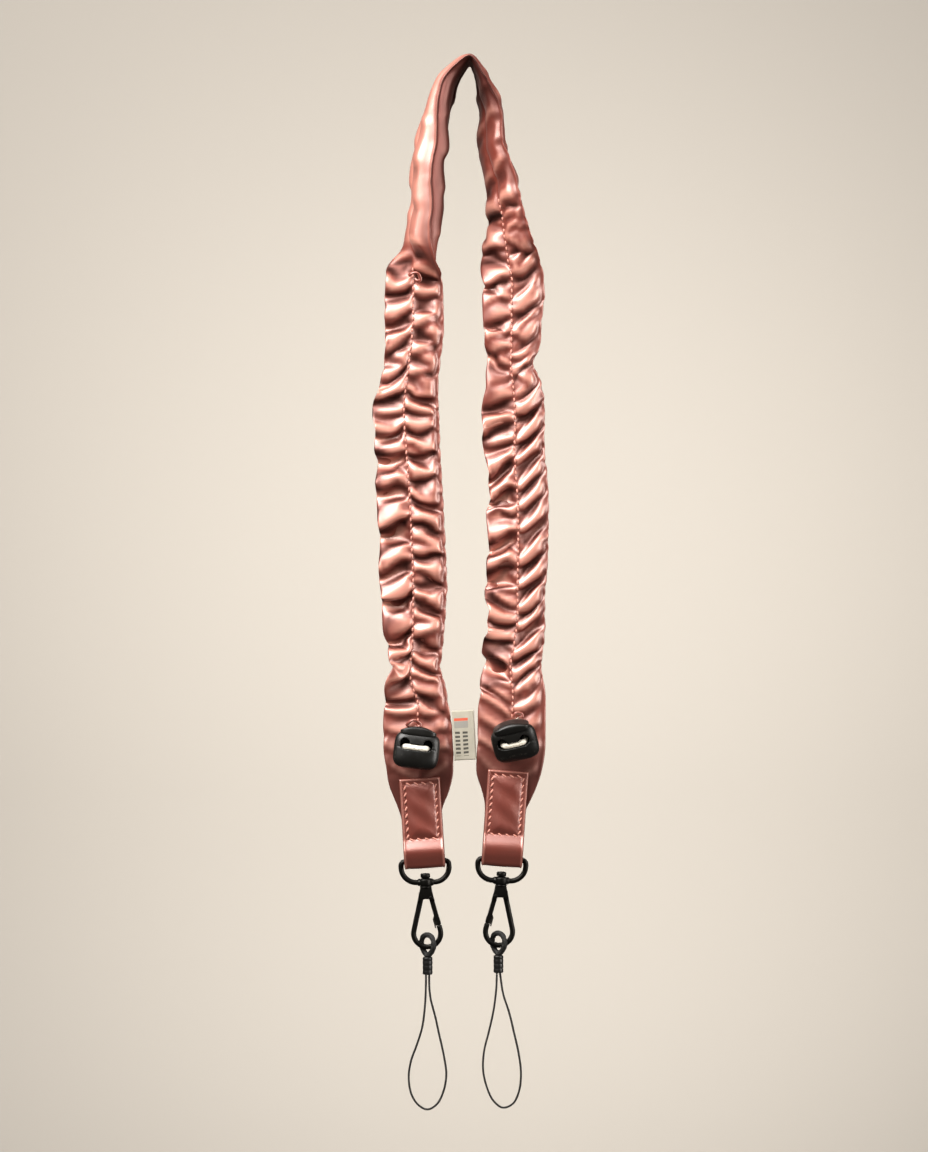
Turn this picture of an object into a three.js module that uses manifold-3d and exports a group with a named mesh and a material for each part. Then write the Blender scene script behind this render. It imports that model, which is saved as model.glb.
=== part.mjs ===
// Ruched satin shoulder strap for a phone or small bag, hanging from one point at the middle of its length.
// A gathered satin sleeve with a stitched drawcord channel down its middle ends, on each leg, in a cord stopper,
// a folded end tab, a swivel snap hook and a thin phone loop. Millimetres, +Z up, the wearer's front is -Y.
// The origin is the top of the sleeve's fold, where the strap is hung.
import * as THREE from "three";
import { mergeVertices } from "three/addons/utils/BufferGeometryUtils.js";
import Module from "manifold-3d";

const wasm = await Module();
wasm.setup();

const GAP = 0.3; // kept between pieces that touch on the real strap

// Sleeve
const STATIONS = 164; // rings along the sleeve
const WIDTH_STEPS = [-1, -0.84, -0.56, -0.22, 0, 0.22, 0.56, 0.84]; // ring points across one face, in half widths
const SEAM_PINCH = 0.6; // share of the depth that the channel's stitches take away
const SEAM_REACH = 0.15; // half widths from the middle that the pinch reaches
const FOLD_BREADTH = 4.2; // half breadth of one gather
const FOLD_DEPTH = 2.3; // how far the cloth falls back between two gathers
const MOST_RISE = 2.7; // no gather stands out further than this
const THINNEST = 0.8; // half depth of the sleeve in the deepest valley
const EDGE_WAVE = 0.5; // share of a gather's rise that pushes the sleeve's edge out
const HIDDEN_SHIFT = 5.5; // the far face's gathers sit this much lower than the near face's

// End tab
const TAB_WIDTH = 19.4;
const TAB_THICK = 1.3;
const TAB_PLAY = 0.9; // between the ring's bar and the fold
const TAB_LENGTH = { left: 39.6, right: 42.4 }; // from the ring's bar up to the tab's top edge
const TAB_SPREAD = 2.6; // half gap between the two plies at the top edge

// Ring of the swivel hook
const WIRE = 1.25; // radius of the ring's and the hook's wire
const BAR_HALF = 9.4; // straight half length of the bar in the tab's fold
const RING_DROP = 10.1; // from that bar down to the bar that carries the swivel
const UPPER_BEND = 2;
const LOWER_BEND = 7.2;
const BOSS_RADIUS = 3.1;
const BOSS_HEIGHT = 3.6;
const PIVOT_RADIUS = 1.2;
const PIVOT_PLAY = 0.3;
const RIVET_RADIUS = 2.3;
const RIVET_HEIGHT = 2.1;

// Snap hook, measured down from the swivel boss
const NECK_HEIGHT = 7.2;
const NECK_TOP = 5.4;
const NECK_FOOT = 7.6;
const NECK_DEPTH = 4.6;
const ARM_SPREAD = 2.4; // from the middle to an arm's line, at the gate's hinge
const ARM_START = 5.2;
const BOW_RADIUS = 6.45;
const BOW_DROP = 22.2;
const NOSE_DROP = 18.4;
const GATE_DEPTH = 2.4;
const GATE_HALF = 1.1;
const GATE_LIP = 1.9;
const GATE_SWING = 25;
const PIN_RADIUS = 0.6;

// Lanyard: braided eye, ferrule and thin loop
const EYE_CORD = 1.3;
const EYE_HALF = 4.15;
const EYE_RISE = 5.7; // from the hook's bow up to the eye's top
const EYE_DROP = 5.4; // from the hook's bow down to the eye's foot, where the ferrule grips it
const EYE_TURN = 45; // the eye stands across the hook's bow, its right strand in front
const FERRULE_RADIUS = 2.4;
const FERRULE_HEIGHT = 7.4;
const LOOP_CORD = 0.5;

// Cord stopper
const STOPPER_WIDTH = 21.6;
const STOPPER_DEPTH = 9.4;
const STOPPER_FOOT = -10.2;
const STOPPER_SHOULDER = 7.4;
const STOPPER_ROUND = 2.4;
const BUTTON_WIDTH = 14.6;
const BUTTON_DEPTH = 6;
const BUTTON_TOP = 9.9;
const BUTTON_TRAVEL = 1.6;
const BORE_RADIUS = 2.6;
const BORE_OFFSET = 5.3;
const BORE_LEVEL = 0.5;
const TROUGH_DEPTH = 3.4;
const DRAWCORD_RADIUS = 1.4;

const degrees = THREE.MathUtils.degToRad;
const rows = (names, list) =>
  list.map((values) => Object.fromEntries(names.map((name, i) => [name, values[i]])));

// The sleeve's middle line from the left end up over the hanging point and down to the right end. turn is how far
// the band is turned from face-on to edge-on, half its half width, deep its half depth, gather how strongly the
// drawcord ruches it there.
const SECTIONS = rows(["x", "y", "z", "turn", "half", "deep", "gather"], [
  [-23, 0, -366, 0, 9.3, 1.2, 0],
  [-23.3, 0, -361, 0, 9.8, 1.3, 0],
  [-23.6, 0, -356.5, 0, 11.1, 1.4, 0],
  [-23.6, 0, -352, 0, 13, 1.6, 0],
  [-23.8, 0, -347, 0, 14.8, 1.8, 0],
  [-23.8, 0, -342, 0, 15.8, 2, 0],
  [-24, 0, -337, 0, 16.3, 2.3, 0.05],
  [-24.4, 0, -331, 0, 16.7, 2.6, 0.15],
  [-24.8, 0, -321, 0, 16.6, 2.9, 0.25],
  [-24.5, 0, -313.5, 0, 15.8, 3.1, 0.5],
  [-24.5, 0, -306, 0, 14.2, 3.5, 0.9],
  [-26.2, 0, -297, 0, 13.8, 3.9, 1],
  [-26.4, 0.5, -289, 0, 12.6, 3.9, 1],
  [-25.8, 0.5, -281, 0, 13, 3.9, 1],
  [-26.4, 0, -268, 0, 14.6, 4, 1],
  [-26.4, 0, -250, 0, 15.7, 4, 1],
  [-26.9, 0, -233, 0, 15.5, 4, 1],
  [-28, 0, -211, 0, 15.5, 4, 1],
  [-28.9, 0.5, -188, 0, 15.1, 4, 1],
  [-29.5, 0.5, -165, 0, 14.9, 4, 1],
  [-27.9, 0, -149, 0, 13.5, 4, 1],
  [-26.2, 0, -130, 0, 14, 4.1, 1],
  [-26.3, 0.5, -112, 0, 13.7, 4.2, 1],
  [-26.4, 0.5, -104, 6, 13.4, 4.2, 1],
  [-26, 0.5, -99, 30, 13.4, 4.2, 0.9],
  [-24.8, 0.5, -95, 52, 13.6, 4.8, 0.6],
  [-23.6, 0.5, -90, 68, 13.8, 6.2, 0.5],
  [-22.6, 0.5, -81, 75, 14.2, 7.2, 0.5],
  [-20.2, 0, -71, 80, 14.4, 7.4, 0.5],
  [-20.5, 0, -61, 82, 14.4, 7.4, 0.5],
  [-20.3, 0, -52, 80, 14.4, 7.4, 0.5],
  [-18.4, 0, -42, 80, 14.4, 7.3, 0.5],
  [-17.2, 0, -33, 84, 14.4, 6.7, 0.45],
  [-15.6, 0, -26, 90, 14.4, 6, 0.4],
  [-13, 0, -18, 96, 14.4, 5.6, 0.35],
  [-10.6, 0, -12, 97, 14.4, 4.8, 0.3],
  [-7.2, 0, -7.4, 94, 14.4, 3.8, 0.3],
  [-3.6, 0, -3.6, 92, 14.4, 3, 0.3],
  [0, 0, -1.5, 90, 14.4, 2.2, 0.2],
  [2.8, 0, -4.6, 90, 14.4, 2.6, 0.3],
  [4.7, 0, -8.4, 88, 14.4, 3, 0.35],
  [6.2, 0, -13, 84, 14.4, 3.4, 0.45],
  [7.9, 0, -19, 78, 14.3, 3.8, 0.55],
  [10.1, 0, -27, 76, 14.2, 3.9, 0.6],
  [10.3, 0, -35, 74, 14, 4, 0.6],
  [10, 0, -42, 72, 14, 4, 0.6],
  [12.4, 0, -50, 68, 14, 4, 0.6],
  [15.1, 0, -59, 67, 14.2, 4, 0.65],
  [16, 0, -67, 63, 14.4, 4, 0.7],
  [17.3, 0, -75, 55, 14.6, 4, 0.8],
  [18.2, 0.5, -83, 47, 14.7, 4.1, 0.85],
  [18.4, 0.5, -90, 34, 14.8, 4.1, 0.9],
  [19.2, 0.5, -97, 18, 14.8, 4.2, 1],
  [20.9, 0.5, -105, 4, 14.4, 4.2, 1],
  [21.1, 0.5, -115, 0, 14.8, 4.2, 1],
  [20.7, 0, -128, 0, 13.8, 4.1, 1],
  [20.4, 0, -139, 0, 13.2, 4, 1],
  [18.8, 0, -147, 0, 11.4, 4, 1],
  [20.8, 0, -156, 0, 12.6, 4, 1],
  [21.3, 0.5, -169, 0, 14.6, 4, 1],
  [22.2, 0.5, -189, 0, 13.9, 4, 1],
  [23.6, 0, -211, 0, 14.2, 4, 1],
  [23.5, 0, -233, 0, 14.1, 4, 1],
  [22.5, 0, -251, 0, 14.3, 4, 1],
  [22.7, 0.5, -269, 0, 13.2, 3.9, 1],
  [21.4, 0.5, -280, 0, 13.8, 3.9, 1],
  [19.8, 0.5, -290, 0, 14.2, 3.9, 1],
  [20.6, 0, -302, 0, 15, 3.7, 0.9],
  [20, 0, -312, 0, 16, 3.2, 0.5],
  [19.8, 0, -321, 0, 16.4, 2.9, 0.25],
  [19.4, 0, -331, 0, 16.4, 2.6, 0.15],
  [18.6, 0, -337.5, 0, 16.1, 2.3, 0.05],
  [18.1, 0, -342, 0, 15.5, 2, 0],
  [18, 0, -347, 0, 13.8, 1.8, 0],
  [17.5, 0, -352, 0, 11.8, 1.6, 0],
  [16.9, 0, -356.5, 0, 10.2, 1.4, 0],
  [16.4, 0, -361, 0, 9.7, 1.3, 0],
  [16.2, 0, -366, 0, 9.3, 1.2, 0],
]);

// One row for each gather: how far below the hanging point it leaves the seam, how much lower its outer end lies,
// and how far it stands out.
const GATHERS = {
  left: {
    left: rows(["drop", "lean", "rise"], [
      [22, 2, 1.1], [41, -3, 1.3], [60, 3, 1.2], [76, -2, 1.2],
      [94, 2, 2.8], [110, 6, 1.9], [131, 5, 2.3], [144, 4, 1.9], [155, -4, 1.8], [165, 3, 2],
      [174, 2, 1.8], [184, 2, 2], [194, 6, 1.7], [209, 3, 2.3], [224, 7, 2.2], [243, 6, 2.4],
      [254, -3, 1.4], [263, 3, 1.9], [272, -5, 1.8], [284, 4, 2.2], [294, 3, 1.7], [305, 4, 1.9],
    ]),
    right: rows(["drop", "lean", "rise"], [
      [30, -2, 1.2], [50, 3, 1.2], [68, -2, 1.3],
      [90, 6, 2.2], [102, -3, 2.3], [117, -5, 2], [135, -5, 2.2], [149, -6, 2.2], [158, -3, 1.7],
      [167, -2, 1.9], [178, -3, 2], [192, -5, 1.9], [207, 2, 2.3], [223, 4, 2.4], [235, 3, 1.6],
      [245, -5, 2.4], [257, -4, 1.8], [271, -3, 2], [283, -5, 1.9], [295, 3, 2.3], [304, -3, 1.8],
    ]),
  },
  right: {
    left: rows(["drop", "lean", "rise"], [
      [16, -2, 1.2], [35, 3, 1.3], [52, -3, 1.2],
      [67, -2, 1.8], [79, 3, 1.6], [93, 2, 1.9], [111, 3, 2.2], [128, 3, 2], [143, 6, 2.2],
      [156, 2, 1.6], [171, -2, 2], [183, -6, 2], [194, -3, 1.4], [209, -8, 1.9], [222, 4, 1.9],
      [236, -7, 2], [254, -8, 2.2], [269, -4, 2], [279, -3, 1.8], [292, -8, 2.3], [303, -4, 1.8],
    ]),
    right: rows(["drop", "lean", "rise"], [
      [25, 2, 1.4], [44, -3, 1.2],
      [67, 2, 1.6], [78, -5, 1.7], [92, -6, 2], [110, 3, 1.9], [119, -4, 1.7], [131, 2, 1.8],
      [141, -3, 2.3], [158, -5, 1.9], [170, -6, 2.2], [183, -8, 1.9], [194, -7, 1.7], [206, -8, 2],
      [217, -8, 2.2], [231, -8, 2.3], [244, -8, 2.2], [256, -8, 2], [272, -7, 2.3], [284, -7, 1.9],
      [303, -6, 2.2],
    ]),
  },
};

// Where each leg's end pieces sit: the tab's and the ring's middles at the ring's upper bar with their leans, the
// side that the hook's gate is on, and the cord stopper on the sleeve's face.
const ENDS = {
  left: {
    tab: { x: -21.6, lean: -3.6 },
    ring: { x: -21.5, z: -382.6, lean: -1.8 },
    gateSide: 1,
    stopper: { x: -25.2, y: -9.2, z: -328, roll: 7, pitch: -6, yaw: 0 },
  },
  right: {
    tab: { x: 15.2, lean: 4 },
    ring: { x: 15.2, z: -381.8, lean: 2.4 },
    gateSide: -1,
    stopper: { x: 20.9, y: -11.4, z: -324.6, roll: -15, pitch: 22, yaw: -6 },
  },
};

// The thin loops' routes in each lanyard's own frame, from the ferrule's foot round and back to it.
const LOOP_ROUTES = {
  left: [
    [-0.75, 0, 0], [-0.85, 0, -7], [-1.3, 0.2, -15], [-2.6, 0.5, -25], [-5.2, 0.8, -33.5], [-7.9, 0.9, -41],
    [-9, 0.8, -49], [-7.6, 0.5, -57], [-4.2, 0.2, -62], [0, 0, -63.9], [4.4, -0.2, -61.4], [7.6, -0.5, -55],
    [8.9, -0.8, -47], [7.8, -0.9, -38.5], [5.6, -0.8, -28.5], [3.6, -0.5, -19.5], [1.5, -0.2, -11.5],
    [0.85, 0, -6], [0.75, 0, 0],
  ],
  right: [
    [-0.75, 0, 0], [-1.1, 0, -8], [-2.4, 0.2, -18], [-4.6, 0.5, -28], [-6.8, 0.8, -37], [-7.3, 0.9, -46],
    [-5.6, 0.8, -54], [-2.6, 0.4, -60.4], [2, 0.1, -63.9], [6.8, -0.2, -62], [9.6, -0.5, -56.6],
    [10.7, -0.8, -48], [9.6, -0.9, -38], [7.6, -0.8, -29], [5.2, -0.5, -19], [2.2, -0.2, -9.5], [0.75, 0, 0],
  ],
};

// Surfaces
const satin = new THREE.MeshStandardMaterial({ color: 0xb4685c, roughness: 0.34, metalness: 0.35 });
const tabSatin = new THREE.MeshStandardMaterial({ color: 0xa9604f, roughness: 0.4, metalness: 0.2 });
const blackMetal = new THREE.MeshStandardMaterial({ color: 0x16140f, roughness: 0.42, metalness: 0.7 });
const blackCord = new THREE.MeshStandardMaterial({ color: 0x12110f, roughness: 0.85, metalness: 0 });
const blackPlastic = new THREE.MeshStandardMaterial({ color: 0x1b1a17, roughness: 0.45, metalness: 0 });
const whiteCord = new THREE.MeshStandardMaterial({ color: 0xe6dfd0, roughness: 0.8, metalness: 0 });
const labelCloth = new THREE.MeshStandardMaterial({ color: 0xcfc8b6, roughness: 0.85, metalness: 0 });

// A geometry as a manifold solid, moved by an optional matrix.
function solidOf(geometry, matrix = new THREE.Matrix4()) {
  const bare = geometry.index ? geometry.toNonIndexed() : geometry.clone();
  const placed = new THREE.BufferGeometry()
    .setAttribute("position", bare.getAttribute("position"))
    .applyMatrix4(matrix);
  const merged = mergeVertices(placed, 1e-4);
  return new wasm.Manifold(
    new wasm.Mesh({
      numProp: 3,
      vertProperties: merged.attributes.position.array,
      triVerts: new Uint32Array(merged.index.array),
    }),
  );
}

// A manifold solid back as a three.js geometry.
function geometryOf(solid) {
  const mesh = solid.getMesh();
  return new THREE.BufferGeometry()
    .setAttribute("position", new THREE.BufferAttribute(new Float32Array(mesh.vertProperties), 3))
    .setIndex(new THREE.BufferAttribute(new Uint32Array(mesh.triVerts), 1));
}

function meshOf(name, geometry, material) {
  const mesh = new THREE.Mesh(geometry, material);
  mesh.name = name;
  return mesh;
}

function at(x, y, z, tiltX = 0, tiltY = 0, tiltZ = 0) {
  return new THREE.Matrix4().compose(
    new THREE.Vector3(x, y, z),
    new THREE.Quaternion().setFromEuler(new THREE.Euler(degrees(tiltX), degrees(tiltY), degrees(tiltZ))),
    new THREE.Vector3(1, 1, 1),
  );
}

// An outline drawn in the XZ plane, extruded through depth and centred on y = 0.
function plate(outline, depth, settings = {}) {
  const geometry = new THREE.ExtrudeGeometry(outline, { depth, bevelEnabled: false, curveSegments: 6, ...settings });
  geometry.translate(0, 0, -depth / 2);
  return geometry.rotateX(Math.PI / 2);
}

// A curve in the XZ plane that follows a 2D path.
class FlatCurve extends THREE.Curve {
  constructor(path) {
    super();
    this.path = path;
  }

  getPoint(t, target = new THREE.Vector3()) {
    const p = this.path.getPointAt(Math.min(Math.max(t, 0), 1));
    return target.set(p.x, 0, p.y);
  }
}

function disc(radius, sides) {
  const points = [];
  for (let i = 0; i < sides; i++) {
    const angle = (2 * Math.PI * (i + 0.5)) / sides;
    points.push(new THREE.Vector2(radius * Math.cos(angle), radius * Math.sin(angle)));
  }
  return new THREE.Shape(points);
}

// A round wire along an open curve.
function wire(curve, radius, steps, sides = 8) {
  return new THREE.ExtrudeGeometry(disc(radius, sides), { steps, extrudePath: curve, bevelEnabled: false });
}

function uprightCylinder(radius, height, sides = 16) {
  return new THREE.CylinderGeometry(radius, radius, height, sides).rotateX(Math.PI / 2);
}

// Joins closed rings of points into one closed skin, each end filled from its middle.
function loft(rings) {
  const sides = rings[0].length;
  const positions = rings.flat().flatMap((p) => p.toArray());
  const faces = [];
  for (let r = 0; r + 1 < rings.length; r++) {
    for (let k = 0; k < sides; k++) {
      const here = r * sides + k;
      const next = r * sides + ((k + 1) % sides);
      faces.push(here, next, here + sides, next, next + sides, here + sides);
    }
  }
  for (const [start, turned] of [[0, true], [(rings.length - 1) * sides, false]]) {
    const ring = rings[start / sides];
    const middle = ring.reduce((sum, p) => sum.add(p), new THREE.Vector3()).divideScalar(sides);
    const centre = positions.length / 3;
    positions.push(...middle.toArray());
    for (let k = 0; k < sides; k++) {
      const a = start + k;
      const b = start + ((k + 1) % sides);
      faces.push(...(turned ? [centre, b, a] : [centre, a, b]));
    }
  }
  const geometry = new THREE.BufferGeometry().setIndex(faces);
  return geometry.setAttribute("position", new THREE.Float32BufferAttribute(positions, 3));
}

// How far the cloth stands out at one place: gathers rise from the seam to the edge, with valleys between them.
function ruche(leg, lobe, drop, reach) {
  let rise = -FOLD_DEPTH;
  for (const fold of GATHERS[leg][lobe]) {
    const away = (drop - fold.drop - fold.lean * reach) / FOLD_BREADTH;
    rise += (fold.rise + FOLD_DEPTH) * Math.exp(-away * away);
  }
  return Math.min(rise, MOST_RISE);
}

// The sections' values at a place along the middle line, t from 0 to 1 over the rows.
function sectionAt(t) {
  const place = t * (SECTIONS.length - 1);
  const row = Math.min(Math.floor(place), SECTIONS.length - 2);
  const blend = THREE.MathUtils.smoothstep(place - row, 0, 1);
  const value = (key) => THREE.MathUtils.lerp(SECTIONS[row][key], SECTIONS[row + 1][key], blend);
  return { turn: value("turn"), half: value("half"), deep: value("deep"), gather: value("gather") };
}

function sleeveRing(curve, u) {
  const t = curve.getUtoTmapping(u);
  const centre = curve.getPoint(t);
  const along = curve.getTangent(t);
  const { turn, half, deep, gather } = sectionAt(t);
  const leg = t < 0.5 ? "left" : "right";
  const wide = new THREE.Vector3(Math.cos(degrees(turn)), -Math.sin(degrees(turn)), 0);
  wide.addScaledVector(along, -wide.dot(along)).normalize();
  const out = new THREE.Vector3().crossVectors(wide, along);
  const nearFace = leg === "left" ? 1 : -1;
  const points = [];
  for (const face of [1, -1]) {
    for (const step of WIDTH_STEPS) {
      const across = step * face;
      const reach = Math.abs(across);
      const drop = -centre.z - (face === nearFace ? 0 : HIDDEN_SHIFT);
      const fold = gather * ruche(leg, across < 0 ? "left" : "right", drop, reach);
      const pinch = 1 - SEAM_PINCH * Math.max(gather, 0) * Math.exp(-((across / SEAM_REACH) ** 2));
      const lobe = Math.pow(1 - across * across, 0.35) * pinch;
      const depth = face * lobe * Math.max(deep + fold * Math.sin(Math.PI * Math.sqrt(reach)) ** 2, THINNEST);
      const width = across * half + Math.sign(across) * EDGE_WAVE * fold * reach ** 4;
      points.push(centre.clone().addScaledVector(wide, width).addScaledVector(out, depth));
    }
  }
  return points;
}

function satinSleeve() {
  const curve = new THREE.CatmullRomCurve3(SECTIONS.map((s) => new THREE.Vector3(s.x, s.y, s.z)), false, "centripetal");
  curve.arcLengthDivisions = 2000;
  const rings = [];
  for (let i = 0; i <= STATIONS; i++) rings.push(sleeveRing(curve, i / STATIONS));
  return meshOf("satin_sleeve", loft(rings), satin);
}

// A strip folded round the ring's bar, its two plies either side of the sleeve's end.
function endTab(side) {
  const inner = WIRE + TAB_PLAY;
  const outer = inner + TAB_THICK;
  const top = TAB_LENGTH[side];
  const profile = new THREE.Shape();
  profile.moveTo(-TAB_SPREAD - TAB_THICK, top);
  profile.lineTo(-TAB_SPREAD - TAB_THICK, top * 0.5);
  profile.lineTo(-outer, 4);
  profile.lineTo(-outer, 0);
  profile.absarc(0, 0, outer, Math.PI, 2 * Math.PI, false);
  profile.lineTo(outer, 4);
  profile.lineTo(TAB_SPREAD + TAB_THICK, top * 0.5);
  profile.lineTo(TAB_SPREAD + TAB_THICK, top);
  profile.lineTo(TAB_SPREAD, top);
  profile.lineTo(TAB_SPREAD, top * 0.5);
  profile.lineTo(inner, 4);
  profile.lineTo(inner, 0);
  profile.absarc(0, 0, inner, 0, -Math.PI, true);
  profile.lineTo(-inner, 4);
  profile.lineTo(-TAB_SPREAD, top * 0.5);
  profile.lineTo(-TAB_SPREAD, top);
  const strip = new THREE.ExtrudeGeometry(profile, { depth: TAB_WIDTH, bevelEnabled: false, curveSegments: 10 });
  // The outline's own x and y become the part's y and z, and the extrusion runs along x.
  const turned = new THREE.Matrix4().makeBasis(
    new THREE.Vector3(0, 1, 0), new THREE.Vector3(0, 0, 1), new THREE.Vector3(1, 0, 0));
  strip.applyMatrix4(turned).translate(-TAB_WIDTH / 2, 0, 0);
  return meshOf(`end_tab_${side}`, strip, tabSatin);
}

// The wire ring, its boss on the lower bar bored for the hook's pivot.
function swivelRing(side) {
  const wide = BAR_HALF + UPPER_BEND;
  const path = new THREE.Path();
  path.moveTo(-BAR_HALF, 0);
  path.lineTo(BAR_HALF, 0);
  path.absarc(BAR_HALF, -UPPER_BEND, UPPER_BEND, Math.PI / 2, 0, true);
  path.lineTo(wide, LOWER_BEND - RING_DROP);
  path.absarc(wide - LOWER_BEND, LOWER_BEND - RING_DROP, LOWER_BEND, 0, -Math.PI / 2, true);
  path.lineTo(LOWER_BEND - wide, -RING_DROP);
  path.absarc(LOWER_BEND - wide, LOWER_BEND - RING_DROP, LOWER_BEND, -Math.PI / 2, -Math.PI, true);
  path.lineTo(-wide, -UPPER_BEND);
  path.absarc(-BAR_HALF, -UPPER_BEND, UPPER_BEND, Math.PI, Math.PI / 2, true);
  const ring = solidOf(new THREE.TubeGeometry(new FlatCurve(path), 28, WIRE, 7, true));
  const boss = solidOf(uprightCylinder(BOSS_RADIUS, BOSS_HEIGHT), at(0, 0, -RING_DROP));
  const bore = solidOf(uprightCylinder(PIVOT_RADIUS + PIVOT_PLAY, BOSS_HEIGHT + 2), at(0, 0, -RING_DROP));
  return meshOf(`swivel_ring_${side}`, geometryOf(ring.add(boss).subtract(bore)), blackMetal);
}

// The line that both arms of the hook leave the neck on, tangent to the round bow.
function armLine() {
  const fall = BOW_DROP - ARM_START;
  const reach = Math.hypot(ARM_SPREAD, fall);
  const lean = Math.asin(BOW_RADIUS / reach) - Math.atan2(ARM_SPREAD, fall);
  return { lean, length: Math.sqrt(reach ** 2 - BOW_RADIUS ** 2) };
}

function gateHinge(gateSide) {
  return { x: gateSide * ARM_SPREAD, z: -ARM_START };
}

// Neck, pivot with its rivet head, and one wire from the neck down the fixed arm and round to the nose.
function snapHook(side) {
  const { gateSide } = ENDS[side];
  const { lean, length } = armLine();
  const neckShape = new THREE.Shape();
  neckShape.moveTo(-NECK_TOP / 2, 0);
  neckShape.lineTo(-NECK_FOOT / 2 - 0.3, -NECK_HEIGHT);
  neckShape.quadraticCurveTo(0, -NECK_HEIGHT + 1.4, NECK_FOOT / 2 + 0.3, -NECK_HEIGHT);
  neckShape.lineTo(NECK_TOP / 2, 0);
  const neckFace = NECK_DEPTH - 1;
  let hook = solidOf(plate(neckShape, neckFace, {
    bevelEnabled: true, bevelThickness: 0.5, bevelSize: 0.4, bevelOffset: -0.4, bevelSegments: 1,
  }));
  const stem = BOSS_HEIGHT + 2 * GAP + 1;
  hook = hook.add(solidOf(uprightCylinder(PIVOT_RADIUS, stem), at(0, 0, stem / 2 - 0.5)));
  const headFoot = BOSS_HEIGHT + 2 * GAP;
  const head = uprightCylinder(RIVET_RADIUS, RIVET_HEIGHT);
  hook = hook.add(solidOf(head, at(0, 0, headFoot + RIVET_HEIGHT / 2)));

  // Drawn for a gate on the right, and mirrored for one on the left.
  const start = new THREE.Vector2(-ARM_SPREAD, -ARM_START);
  const path = new THREE.Path();
  path.moveTo(start.x, start.y);
  path.lineTo(start.x - length * Math.sin(lean), start.y - length * Math.cos(lean));
  path.absarc(0, -BOW_DROP, BOW_RADIUS, Math.PI - lean, 2 * Math.PI + lean, false);
  const nose = (BOW_DROP - NOSE_DROP) / Math.cos(lean);
  const bowEnd = new THREE.Vector2(BOW_RADIUS * Math.cos(lean), -BOW_DROP + BOW_RADIUS * Math.sin(lean));
  const rest = nose - (BOW_RADIUS * Math.sin(lean)) / Math.cos(lean);
  path.lineTo(bowEnd.x - rest * Math.sin(lean), bowEnd.y + rest * Math.cos(lean));
  const bow = wire(new FlatCurve(path), WIRE, 20);
  hook = hook.add(solidOf(bow, at(0, 0, 0, 0, 0, gateSide > 0 ? 0 : 180)));

  const hinge = gateHinge(gateSide);
  const slot = new THREE.BoxGeometry(2 * (GATE_HALF + GAP), GATE_DEPTH + 0.5, 9).translate(0, 0, -3);
  for (let swing = 0; swing <= GATE_SWING + 1; swing += 6.5) {
    const angle = -gateSide * THREE.MathUtils.radToDeg(lean) + gateSide * swing;
    hook = hook.subtract(solidOf(slot, at(hinge.x, 0, hinge.z, 0, angle, 0)));
  }
  const pin = new THREE.CylinderGeometry(PIN_RADIUS, PIN_RADIUS, NECK_DEPTH - 0.4, 12);
  hook = hook.add(solidOf(pin, at(hinge.x, 0, hinge.z)));
  return meshOf(`snap_hook_${side}`, geometryOf(hook), blackMetal);
}

// A sprung bar whose lip closes on the inside of the nose.
function hookGate(side) {
  const { gateSide } = ENDS[side];
  const { lean } = armLine();
  const tip = (NOSE_DROP - ARM_START) / Math.cos(lean) - GAP - WIRE * 0.2;
  const lipFace = WIRE + GAP;
  const outline = new THREE.Shape();
  outline.moveTo(GATE_HALF, 0);
  outline.absarc(0, 0, GATE_HALF, 0, Math.PI, false);
  outline.lineTo(-GATE_HALF, -tip + 4.2);
  outline.lineTo(-lipFace - 0.95, -tip + 2.6);
  outline.lineTo(-lipFace - 0.95, -tip - GATE_LIP);
  outline.lineTo(-lipFace, -tip - GATE_LIP);
  outline.lineTo(-lipFace, -tip);
  outline.lineTo(GATE_HALF, -tip);
  const bar = solidOf(plate(outline, GATE_DEPTH));
  const hole = solidOf(new THREE.CylinderGeometry(PIN_RADIUS + 0.25, PIN_RADIUS + 0.25, GATE_DEPTH + 2, 12));
  const hinge = gateHinge(gateSide);
  const gate = geometryOf(bar.subtract(hole));
  gate.applyMatrix4(at(0, 0, 0, 0, -THREE.MathUtils.radToDeg(lean), 0));
  if (gateSide < 0) gate.applyMatrix4(at(0, 0, 0, 0, 0, 180));
  gate.translate(hinge.x, 0, hinge.z);
  return meshOf(`hook_gate_${side}`, gate, blackMetal);
}

// A closed loop of thick braided cord that stands across the hook's bow and comes together in the ferrule.
function lanyardEye(side) {
  const foot = EYE_CORD - EYE_DROP;
  const route = [
    [0, EYE_RISE], [EYE_HALF * 0.72, EYE_RISE - 1.1], [EYE_HALF, EYE_RISE - 4], [EYE_HALF * 0.88, EYE_RISE - 6.6],
    [EYE_CORD + 0.4, foot + 1], [0, foot],
  ];
  const mirrored = route.slice(1, -1).reverse().map(([w, z]) => [-w, z]);
  const turn = degrees(EYE_TURN);
  const points = [...route, ...mirrored].map(
    ([w, z]) => new THREE.Vector3(w * Math.cos(turn), -w * Math.sin(turn), z));
  const curve = new THREE.CatmullRomCurve3(points, true, "centripetal");
  return meshOf(`lanyard_eye_${side}`, new THREE.TubeGeometry(curve, 22, EYE_CORD, 7, true), blackCord);
}

function ferrule(side) {
  const half = FERRULE_HEIGHT / 2;
  const profile = [
    [0, half], [FERRULE_RADIUS - 0.5, half], [FERRULE_RADIUS, half - 0.5],
    [FERRULE_RADIUS, -half + 0.4], [FERRULE_RADIUS - 0.4, -half], [0, -half],
  ].map(([r, z]) => new THREE.Vector2(r, z));
  const tube = new THREE.LatheGeometry(profile.reverse(), 14).rotateX(Math.PI / 2);
  return meshOf(`ferrule_${side}`, tube, blackPlastic);
}

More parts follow.
